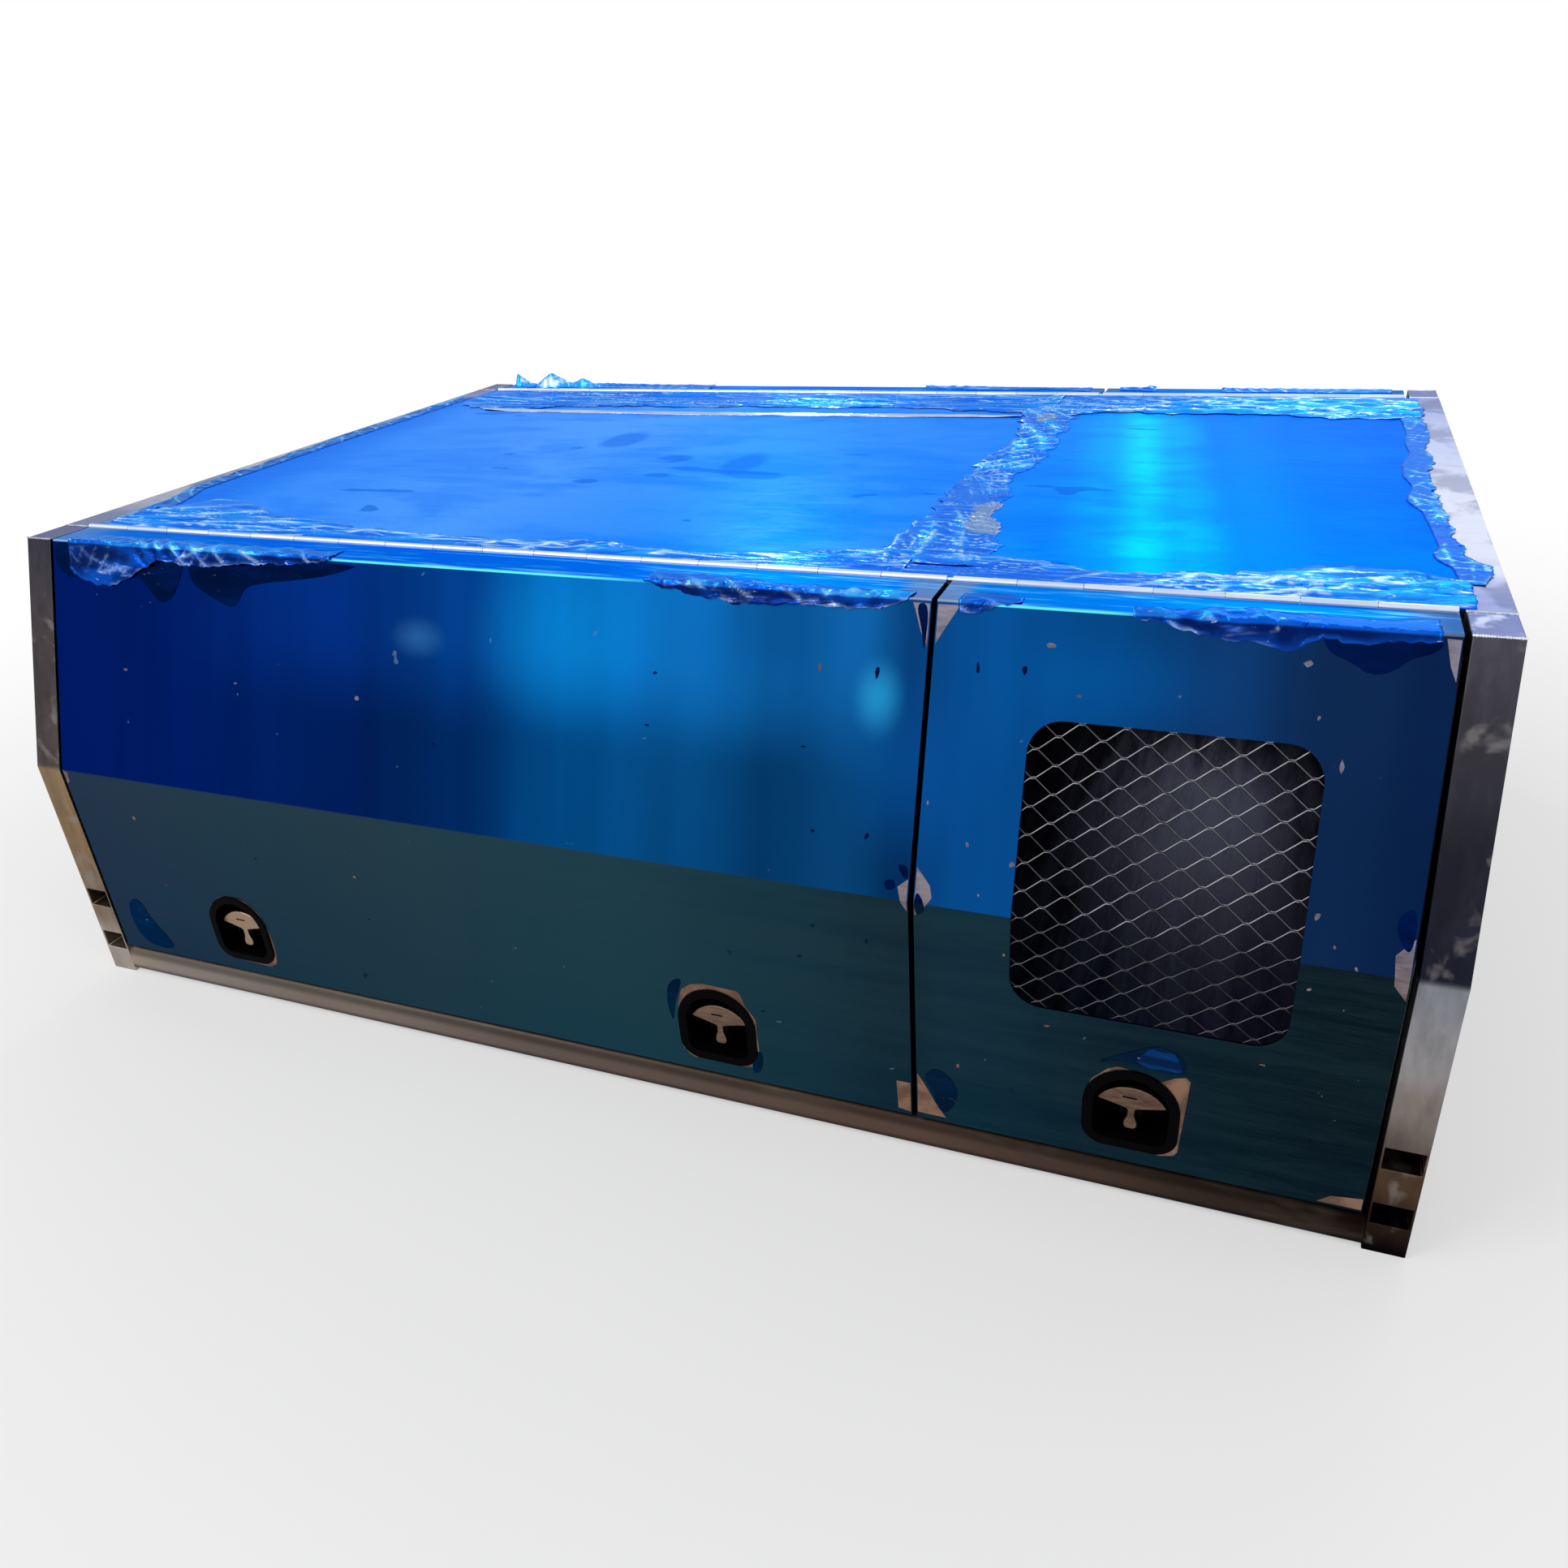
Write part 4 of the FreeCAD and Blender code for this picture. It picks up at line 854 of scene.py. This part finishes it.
def ragged(along, base, amount, seed, sharp=0.5):
    # A torn border: slow bays with small teeth on them
    slow = softNoise(along / 0.11, along * 0 + seed, seed)
    quick = softNoise(along / 0.022, along * 0 + seed + 3, seed + 1)
    teeth = np.abs(softNoise(along / 0.009, along * 0 + seed + 7, seed + 2))
    return base + amount * (0.8 * slow + 0.5 * quick + sharp * 0.5 * teeth)


def profile(along, places):
    xs, ys = zip(*metres(places))
    return np.interp(along, xs, ys)


def overRoof(side):
    def place(s, w, lift):
        return np.stack([s, side * w, roofTop + lift], axis=-1)
    return place


fold = {"hinge": 0.6795, "round": 0.012, "swell": 0.0012, "swellRun": 0.006}
flangeLong = canopy["roofHalf"] - fold["hinge"]


def overDoorTop(side):
    # w runs from the hinge out over the flange, round the edge, and down the upper side
    def place(s, w, lift):
        past = w - flangeLong
        turn = np.clip(past / fold["round"] + 0.5, 0, 1)
        turn = turn * turn * (3 - 2 * turn)
        down = np.maximum(past, 0)
        y = canopy["roofHalf"] + np.minimum(past, 0) + down * upSlope / upRun
        z = roofTop - down / upRun
        outY, outZ = turn * 1 / upRun, (1 - turn) + turn * upSlope / upRun
        size = np.sqrt(outY ** 2 + outZ ** 2)
        lift = lift + fold["swell"] * np.exp(-(past / fold["swellRun"]) ** 2)
        return np.stack([s, side * (y + outY / size * lift), z + outZ / size * lift], axis=-1)
    return place


# In mm: how wide the roof's film lies along the hinge, and how far the doors' film hangs over their top edge.
# Each has its run along the roof, and (place, width) along it. A door's film also has its width on the flange
filmStrips = {
    "left": ((-1085, 412), [(-1085, 100), (-1000, 190), (-900, 170), (-780, 110), (-600, 70), (-300, 55), (100, 50),
                            (250, 80), (395, 110)]),
    "right": ((388, 1128), [(388, 130), (520, 100), (700, 70), (850, 90), (970, 140), (1060, 130), (1128, 90)]),
}
doorFilms = [
    ("large", "left", (-1066, -500), 40, [(-1066, 45), (-1055, 55), (-1000, 70), (-950, 62), (-880, 30), (-860, 20),
        (-800, 26), (-700, 24), (-620, 18), (-560, 10), (-500, 0)]),
    ("large", "right", (60, 456), 30, [(60, 0), (132, 13), (200, 18), (316, 20), (408, 18), (440, 10), (456, 0)]),
    ("small", "left", (520, 600), 34, [(520, 12), (540, 14), (570, 4), (600, -4)]),
    ("small", "right", (740, 1085), 34, [(740, 0), (790, 6), (840, 16), (890, 22), (930, 28), (960, 10), (990, 12),
        (1020, 12), (1085, 6)]),
]
filmSides = {
    "near": {"seed": 11, "width": 1.0, "more": 0.0, "doors": "filmDeep"},
    "far": {"seed": 311, "width": 0.6, "more": 0.14, "doors": "filmSky"},
}
# the film stands up in points at the far left corner: x, height and half width
farPeaks = {"film": "door_film_large_left_far", "inset": 66, "across": (0.030, 0.034), "full": 1.15,
            "points": [(-1.074, 0.031, 0.052), (-0.960, 0.031, 0.056), (-0.866, 0.019, 0.044)]}


def peaked(s, w):
    middle, reach = farPeaks["across"]
    return sum(high * np.clip(farPeaks["full"] - np.abs(s - at) / wide - np.abs(w - middle) / reach, 0, 1)
               for at, high, wide in farPeaks["points"])


for sideName, side in sides.items():
    facts = filmSides[sideName]
    seed = facts["seed"]
    for part, (length, widths) in filmStrips.items():
        def borders(along):
            inner = canopy["hingeHalf"] - 0.0085 + 0 * along
            wide = np.maximum(profile(along, widths) * facts["width"] + ragged(along, 0, 0.016, seed + 40), 0.02)
            return inner - wide - facts["more"], inner
        makeFilm(f"roof_film_{part}_{sideName}", "canopy_body", finish["filmSky"], length, borders, overRoof(side),
                 longFolds, seed, curl=0.0012)
        seed += 7
    for size, part, length, inset, hang in doorFilms:
        filmName = f"door_film_{size}_{part}_{sideName}"
        standing = filmName == farPeaks["film"]
        onFlange = (farPeaks["inset"] if standing else inset) / 1000

        def borders(along):
            inner = flangeLong - onFlange + ragged(along, 0, 0.012, seed + 45)
            outer = flangeLong + profile(along, hang) + ragged(along, 0.001, 0.006, seed + 50, 1.2)
            return np.maximum(outer, inner + 0.012), np.maximum(inner, 0.004)
        makeFilm(filmName, f"{size}_door_{sideName}", finish[facts["doors"]], length, borders, overDoorTop(side), torn,
                 seed, amount=0.85, curl=0.005, shape=peaked if standing else None, settle=0.6)
        seed += 7


# Band over the roof's cross joint

def jointPlace(s, w, lift):
    return np.stack([0.405 + w + 0.012 * np.sin(s * 9), s, roofTop + lift], axis=-1)


def jointBorders(along):
    wide = profile(along, [(-530, 100), (-400, 85), (-150, 55), (100, 50), (350, 60), (530, 70)])
    return ragged(along, -wide * 0.6, 0.016, 71, 1.0), ragged(along, wide, 0.016, 83, 1.0)


makeFilm("cross_joint_film", "canopy_body", finish["filmSky"], (-612, 560), jointBorders, jointPlace, openFolds, 71,
         amount=0.7, curl=0.0015)


# Torn borders over the end rails

endFilm = {"widest": 1.166, "width": 0.036, "edge": "filmEdge"}


def endPlace(sign):
    def place(s, w, lift):
        return np.stack([sign * w, s, roofTop + lift], axis=-1)
    return place


def rightBorders(along):
    outer = profile(along, [
        (-600, 1140), (-500, 1156), (-440, 1128), (-200, 1116), (200, 1118), (450, 1124), (560, 1130)])
    inner = outer - endFilm["width"] - 0.012 * softNoise(along / 0.08, along * 0 + 2, 91)
    return np.minimum(ragged(along, outer, 0.010, 93, 1.0), endFilm["widest"]), inner


def leftBorders(along):
    outer = profile(along, [(-560, 1080), (-460, 1112), (-400, 1140), (100, 1150), (560, 1152)])
    return np.minimum(ragged(along, outer, 0.007, 97, 1.0), endFilm["widest"]), outer - endFilm["width"]


for end, start, borders, sign, seed, amount in (("right", -570, rightBorders, 1, 95, 0.6),
                                                ("left", -540, leftBorders, -1, 99, 0.5)):
    makeFilm(f"{end}_end_film", "canopy_body", finish[endFilm["edge"]], (start, 560), borders, endPlace(sign), torn,
             seed, amount=amount, curl=0.003)


# Fold that runs along the roof ahead of the far hinge, painted pale as the highlight on it

farFold = {"middle": 0.412, "sway": 0.010, "turns": 3.1, "height": 0.0035, "half": 0.016}


def foldBorders(along):
    middle = farFold["middle"] + farFold["sway"] * np.sin(along * farFold["turns"])
    middle = middle + 0.003 * softNoise(along / 0.05, along * 0, 121)
    half = profile(along, [(-980, 6), (-900, 16), (200, 16), (360, 6)])
    return middle - half, middle + half


def foldShape(s, w):
    fromMiddle = np.abs(w - farFold["middle"] - farFold["sway"] * np.sin(s * farFold["turns"]))
    return farFold["height"] * np.clip(1 - fromMiddle / farFold["half"], 0, 1)


makeFilm("far_fold_film", "canopy_body", finish["filmFoldHighlight"], (-980, 360), foldBorders, overRoof(1), faint, 123,
         amount=0.5, curl=0.0, shape=foldShape)
print("canopy: film laid")


# Weld beads at the post caps, by geometry nodes

weld = {
    "grow": {"Spacing": 0.0030, "Radius": 0.0021, "Seed": 4},
    "level": 0.8418, "ends": (1.1165, 1.1685), "lines": (0.671, 0.7525),
    "least": (0.8, 0.8, 0.6), "most": (1.2, 1.25, 1.0),
}


def weldTree():
    tree, given = growTree("weldBead", {
        "Path": "Geometry", "Spacing": "Float", "Radius": "Float", "Seed": "Int", "Metal": "Material"})
    path = wire("GeometryNodeMeshToCurve", {"Mesh": given["Path"]})[0]
    stops = wire("GeometryNodeResampleCurve", {"Curve": path, "Length": given["Spacing"]}, mode="LENGTH")[0]
    drop = wire("GeometryNodeMeshIcoSphere", {"Radius": given["Radius"], "Subdivisions": 2})[0]
    limits = {"Min": weld["least"], "Max": weld["most"], "Seed": given["Seed"]}
    varied = wire("FunctionNodeRandomValue", limits, data_type="FLOAT_VECTOR")[0]
    beads = wire("GeometryNodeInstanceOnPoints", {"Points": stops, "Instance": drop, "Scale": varied})[0]
    endTree(beads, given["Metal"])
    return tree


points = [(end * x, side * y, weld["level"])
          for side in (-1, 1) for end in (-1, 1) for y in weld["lines"] for x in weld["ends"]]
edges = [(number, number + 1) for number in range(0, len(points), 2)]
carrier = placed("weldPaths", meshFrom("weldPaths", points, edges=edges))
beads = grown(carrier, weldTree(), {**weld["grow"], "Metal": finish["weld"]})
newPiece("cap_welds", beads, "canopy_body", finish["weld"])


# Bare places where the film has come away, navy film that hangs flat on the doors, and small flecks. All in mm. The
# navy pieces just under the large door's top edge are painted shadow of the film hanging over it, as well as flat film

bareSpots = {
    "large": [
        [(481.5, 836), (481.5, 782), (472, 800), (462, 828), (458, 836.5)],
        [(481.5, 482), (481.5, 436), (473, 449), (467, 470)],
        [(481.5, 128), (481.5, 72), (462, 75), (460, 128)],
        [(-1105.5, 452), (-1105.5, 424), (-1098, 430), (-1096, 448)],
        [(104, 190), (112, 222), (130, 236), (150, 241), (212, 239), (220, 214), (236, 190), (237.5, 120), (228, 94),
         (205, 90), (166, 90), (118, 90), (103, 108), (101, 150)],
        [(-857.5, 170), (-848, 205), (-820, 228), (-792, 233.5), (-760, 228), (-734, 206), (-723, 170), (-721, 130),
         (-727, 98), (-745, 87), (-790, 89), (-840, 90.5), (-856, 108), (-860, 140)],
    ],
    "small": [
        [(492.5, 836), (492.5, 786), (500, 800), (512, 820), (522, 836.5)],
        [(492.5, 500), (492.5, 432), (505, 445), (516, 462), (512, 478)],
        [(492.5, 150), (492.5, 75), (536, 75), (520, 100), (502, 135)],
        [(1105.5, 836), (1105.5, 790), (1098, 806), (1090, 836.5)],
        [(1105.5, 500), (1105.5, 420), (1090, 440), (1086, 478)],
        [(1105.5, 90), (1105.5, 70), (1050, 70), (1066, 84)],
        [(733, 170), (743, 206), (764, 228.5), (778, 236), (792, 233.5), (839, 221), (856, 237), (873.5, 239),
         (870, 170), (865.5, 97), (846, 90.5), (790, 90.5), (748, 96), (734, 115)],
    ],
}
hangingFlapsAndShadows = {
    "large": [
        # the first three, under the film that hangs over the top edge, are painted shadow as well as flat film
        [(-1104, 838), (-1100, 800), (-1070, 780), (-1040, 786), (-1060, 838)],
        [(-930, 835), (-915, 800), (-888, 776), (-862, 752), (-840, 757), (-822, 775), (-800, 835)],
        [(-802, 835), (-792, 790), (-765, 776), (-730, 762), (-705, 754), (-690, 762), (-676, 788), (-640, 796),
         (-585, 803), (-520, 812), (-470, 824), (-440, 836)],
        [(462, 836), (474, 800), (478, 770), (481.5, 836)],
        [(462, 500), (480.5, 476), (480.5, 500)],
        [(446, 475), (460, 480), (466, 468), (452, 462)],
        [(90, 232), (116, 246), (108, 216), (98, 190), (92, 150), (84, 190)],
        [(226, 124), (244, 130), (240, 88), (222, 80)],
        [(-1060, 180), (-1030, 186), (-1016, 140), (-990, 110), (-975, 78), (-1050, 78), (-1072, 130)],
    ],
    "small": [
        [(955, 836), (968, 812), (992, 804), (1016, 790), (1040, 796), (1056, 812), (1082, 820), (1092, 836)],
        [(492.5, 470), (504, 458), (508, 440), (492.5, 430)],
        [(500, 146), (520, 170), (548, 150), (556, 120), (540, 86), (526, 84), (512, 130)],
        [(756, 244), (800, 270), (826, 284), (856, 276), (868, 252), (862, 240), (824, 240), (776, 248), (752, 236)],
        [(1080, 520), (1104, 540), (1104, 480), (1090, 490)],
    ],
}
flapShine = [(800, 256), (812, 268), (818, 279), (832, 274), (850, 277), (856, 262), (862, 254), (858, 243),
             (836, 246), (822, 242), (806, 247)]
# x, z, width, height
flecks = [
    (334, 745, 5, 12), (644, 796, 11, 7), (685, 738, 8, 4), (948, 798, 11, 8), (-447, 635, 9, 7), (-698, 636, 7, 4),
    (-944, 638, 11, 5), (967, 738, 5, 6), (999, 686, 6, 15), (-487, 327, 7, 5), (558, 538, 5, 8), (620, 520, 7, 9),
    (579, 475, 3, 4), (617, 390, 4, 6), (679, 283, 8, 4), (554, 180, 5, 7), (958, 284, 9, 3), (998, 415, 5, 6),
    (995, 510, 7, 9), (1019, 477, 4, 5), (-966, 372, 9, 9), (-944, 233, 3, 6), (500, 585, 3, 6), (1046, 455, 4, 6),
]
darkFlecks = [
    (83, 717, 8, 5), (416, 745, 6, 17), (552, 762, 5, 14), (613, 763, 8, 11), (73, 644, 9, 3), (339, 528, 7, 4),
    (317, 639, 8, 3), (418, 531, 6, 10), (340, 386, 6, 4), (317, 327, 8, 4), (421, 374, 6, 10), (-480, 242, 5, 3),
    (-700, 329, 5, 3), (-300, 580, 6, 3), (250, 210, 6, 3),
]


def onSide(outlines, out, side):
    # Flat outlines on the door side, folded over the knee where they cross it
    work = bmesh.new()
    for outline in outlines:
        work.faces.new([work.verts.new((x, 0, z)) for x, z in outline])
    cutAt(work, (0, 0, knee), (0, 0, 1))
    bmesh.ops.triangulate(work, faces=work.faces[:])
    for vert in work.verts:
        vert.co = sidePoint(vert.co.x, vert.co.z, out, side)
    for face in work.faces:
        face.normal_update()
        if face.normal.y * side < 0:
            face.normal_flip()
    return written(work, bpy.data.meshes.new("patch"))


def eased(outline):
    # Cuts the corners of an outline twice, as soft film has no sharp ones
    for shares in (0.75, 0.25), (0.75, 0.25):
        outline = [(a[0] * s + b[0] * (1 - s), a[1] * s + b[1] * (1 - s))
                   for a, b in zip(outline, outline[1:] + outline[:1]) for s in shares]
    return outline


def fleckOutline(x, z, wide, tall, seed):
    random = np.random.default_rng(seed)
    turns = np.linspace(0, 2 * math.pi, 9)[:-1]
    size = random.uniform(0.7, 1.15, 8)
    lean = random.uniform(-0.3, 0.3)
    x, z, wide, tall = x / 1000, z / 1000, 0.0005 * wide, 0.0005 * tall
    return [(x + wide * k * math.cos(t) + lean * tall * math.sin(t), z + tall * k * math.sin(t))
            for k, t in zip(size, turns)]


# The lock's dish, from the lock's middle: a half round above its centre, and a flat foot with round corners
dish = {
    "centre": -0.004, "half": 0.066, "foot": -0.078, "cornerX": 0.032, "cornerZ": -0.044, "corner": 0.034,
    "from": 0.04, "steps": 60, "step": 0.001, "under": 0.002, "least": 0.0003, "parts": 72,
    "fewest": 8, "near": 0.2,
}


def inDish(x, z):
    x = abs(x)
    if z > dish["centre"]:
        return x * x + (z - dish["centre"]) ** 2 < dish["half"] ** 2
    inCorner = x > dish["cornerX"] and z < dish["cornerZ"]
    past = (x - dish["cornerX"]) ** 2 + (z - dish["cornerZ"]) ** 2 > dish["corner"] ** 2
    return x < dish["half"] and z > dish["foot"] and not (inCorner and past)


def dishEdge(angle):
    # How far the dish reaches that way, less what the patch lies under its rim
    best = 0.05
    for step in range(dish["steps"]):
        r = dish["from"] + step * dish["step"]
        if inDish(r * math.cos(angle), r * math.sin(angle)):
            best = r
    return best - dish["under"]


def outerEdge(angle, ring):
    # Where a line from the lock's middle leaves the outline
    direction = Vector((math.cos(angle), math.sin(angle)))
    best = 0.0
    for a, b in zip(ring, ring[1:] + ring[:1]):
        edge = b - a
        cross = direction.x * edge.y - direction.y * edge.x
        if abs(cross) < 1e-9:
            continue
        reach = (a.x * edge.y - a.y * edge.x) / cross
        share = (a.x * direction.y - a.y * direction.x) / cross
        if reach > 0 and -1e-6 <= share <= 1 + 1e-6:
            best = max(best, reach)
    return best


def cutLocks(outlines):
    # Rings a bare patch round its lock, so that it lies on the sheet and not over the dish
    done = []
    for outline in outlines:
        centres = [x for x in lock["places"].values() if abs(x - outline[0][0]) < dish["near"]]
        if not centres or len(outline) <= dish["fewest"]:
            done.append(outline)
            continue
        centre = centres[0]
        ring = [Vector((x - centre, z - lock["height"])) for x, z in outline]
        angles = [2 * math.pi * number / dish["parts"] for number in range(dish["parts"] + 1)]
        for a, b in zip(angles, angles[1:]):
            quad = []
            for angle, reach in ((a, dishEdge(a)), (a, outerEdge(a, ring)), (b, outerEdge(b, ring)), (b, dishEdge(b))):
                r = max(reach, dishEdge(angle) + dish["least"])
                quad.append((centre + r * math.cos(angle), lock["height"] + r * math.sin(angle)))
            done.append(quad)
    return done


patchSheet = {"bareOut": 0.00025, "darkOut": 0.0003, "flapOut": 0.00055, "shineOut": 0.0009, "thick": 0.0002,
              "seeds": {"near": 500, "far": 900}, "darkSeed": 60}

for sideName, side in sides.items():
    seed = patchSheet["seeds"][sideName]
    for size in ("large", "small"):
        body = f"{size}_door_{sideName}"
        pale, dark = ([fleckOutline(*fleck, first + number) for number, fleck in enumerate(kind)
                       if (fleck[0] / 1000 < canopy["split"]) == (size == "large")]
                      for kind, first in ((flecks, seed), (darkFlecks, seed + patchSheet["darkSeed"])))
        pale = cutLocks([metres(outline) for outline in bareSpots[size]]) + pale
        flapsAndShadows = [eased(metres(outline)) for outline in hangingFlapsAndShadows[size]]
        kinds = [
            (f"bare_patches_{size}_{sideName}", pale, "bareOut", "bare", "bare_aluminium", False),
            (f"dark_marks_{size}_{sideName}", dark, "darkOut", "filmShade", "film_blue", False),
            (f"film_flaps_{size}_{sideName}", flapsAndShadows, "flapOut", "filmShade", "film_blue", True),
        ]
        if size == "small":
            tongue = [eased(metres(flapShine))]
            kinds.append((f"lock_film_{sideName}", tongue, "shineOut", "filmGlint", "film_blue", True))
        for pieceName, outlines, out, look, slot, isSheet in kinds:
            piece = newPiece(pieceName, onSide(outlines, patchSheet[out], side), body, finish[look])
            thickened(piece, patchSheet["thick"], -1)
print("canopy: bare patches made")


# Floor, light and camera

stageSet = {
    "floorSize": 60.0, "floorUnder": 0.0005, "floorColour": 0.86, "floorMottle": 0.02, "skyLight": 0.60,
    "floorGlow": 0.45, "fadeFrom": 1.3, "fadeTo": 3.6, "lampsAimAt": (0, 0, 0.4),
}

half = stageSet["floorSize"] / 2
floorMesh = meshFrom("floor", [(-half, -half, 0), (half, -half, 0), (half, half, 0), (-half, half, 0)], [(0, 1, 2, 3)])
floor = placed("floor", floorMesh)
floor.location.z = cadBox[0][2] - stageSet["floorUnder"]
floorMaterial, coords, _ = newMaterial("floor", Roughness=0.9, Metallic=0.0, Specular_IOR_Level=0.0)
greys = ([stageSet["floorColour"] + more] * 3 + [1] for more in (0.0, stageSet["floorMottle"]))
dress(blend(cloud(coords, 3.0, 2.0), *greys))
# away from the canopy the floor goes over to the white of the backdrop
distance = wire("ShaderNodeVectorMath", {0: coords}, operation="LENGTH")["Value"]
fade = spread(distance, stageSet["fadeFrom"], stageSet["fadeTo"], stageSet["floorGlow"], 1.0)
paths = wire("ShaderNodeLightPath")
seenRay = calc("MAXIMUM", paths["Is Camera Ray"], paths["Is Glossy Ray"])
glow = wire("ShaderNodeEmission", {"Color": (1, 1, 1, 1), "Strength": 1.0})[0]
mixed = {0: times(fade, seenRay), 1: here["shader"].outputs[0], 2: glow}
join(wire("ShaderNodeMixShader", mixed)[0], here["end"])
floorMesh.materials.append(floorMaterial)

world = bpy.data.worlds.new("studio")
bpy.context.scene.world = world
world.use_nodes = True
here["tree"] = world.node_tree
here["tree"].nodes.clear()
paths = wire("ShaderNodeLightPath")
direct = calc("MAXIMUM", calc("MAXIMUM", paths["Is Camera Ray"], paths["Is Glossy Ray"]), paths["Is Transmission Ray"])
strength = spread(direct, 0.0, 1.0, stageSet["skyLight"], 1.0, "LINEAR")
wire("ShaderNodeOutputWorld", {0: wire("ShaderNodeBackground", {"Color": (1, 1, 1, 1), "Strength": strength})[0]})

lamps = {
    "key": {"at": (-2.6, -3.6, 4.2), "size": 2.6, "power": 80},
    "rim": {"at": (1.6, 4.2, 3.4), "size": 2.8, "power": 40},
    "spark": {"at": (2.8, -2.4, 3.6), "size": 0.30, "power": 9},
    "sparkBack": {"at": (-1.4, 3.2, 3.0), "size": 0.30, "power": 9},
}
for lampName, facts in lamps.items():
    data = bpy.data.lights.new(lampName, "AREA")
    data.size, data.energy = facts["size"], facts["power"]
    lamp = placed(lampName, data)
    lamp.location = facts["at"]
    aim = Vector(stageSet["lampsAimAt"]) - Vector(facts["at"])
    lamp.rotation_euler = aim.to_track_quat("-Z", "Y").to_euler()

view = {"at": (0.89713, -2.26469, 1.37978), "turn": (62.8124, 3.3344, 21.2865), "lens": 28.4787, "sensor": 36}
cameraData = bpy.data.cameras.new("camera")
cameraData.lens, cameraData.sensor_width = view["lens"], view["sensor"]
camera = placed("camera", cameraData)
camera.location = view["at"]
camera.rotation_euler = [math.radians(angle) for angle in view["turn"]]
bpy.context.scene.camera = camera
bpy.context.scene.view_settings.view_transform = "Standard"
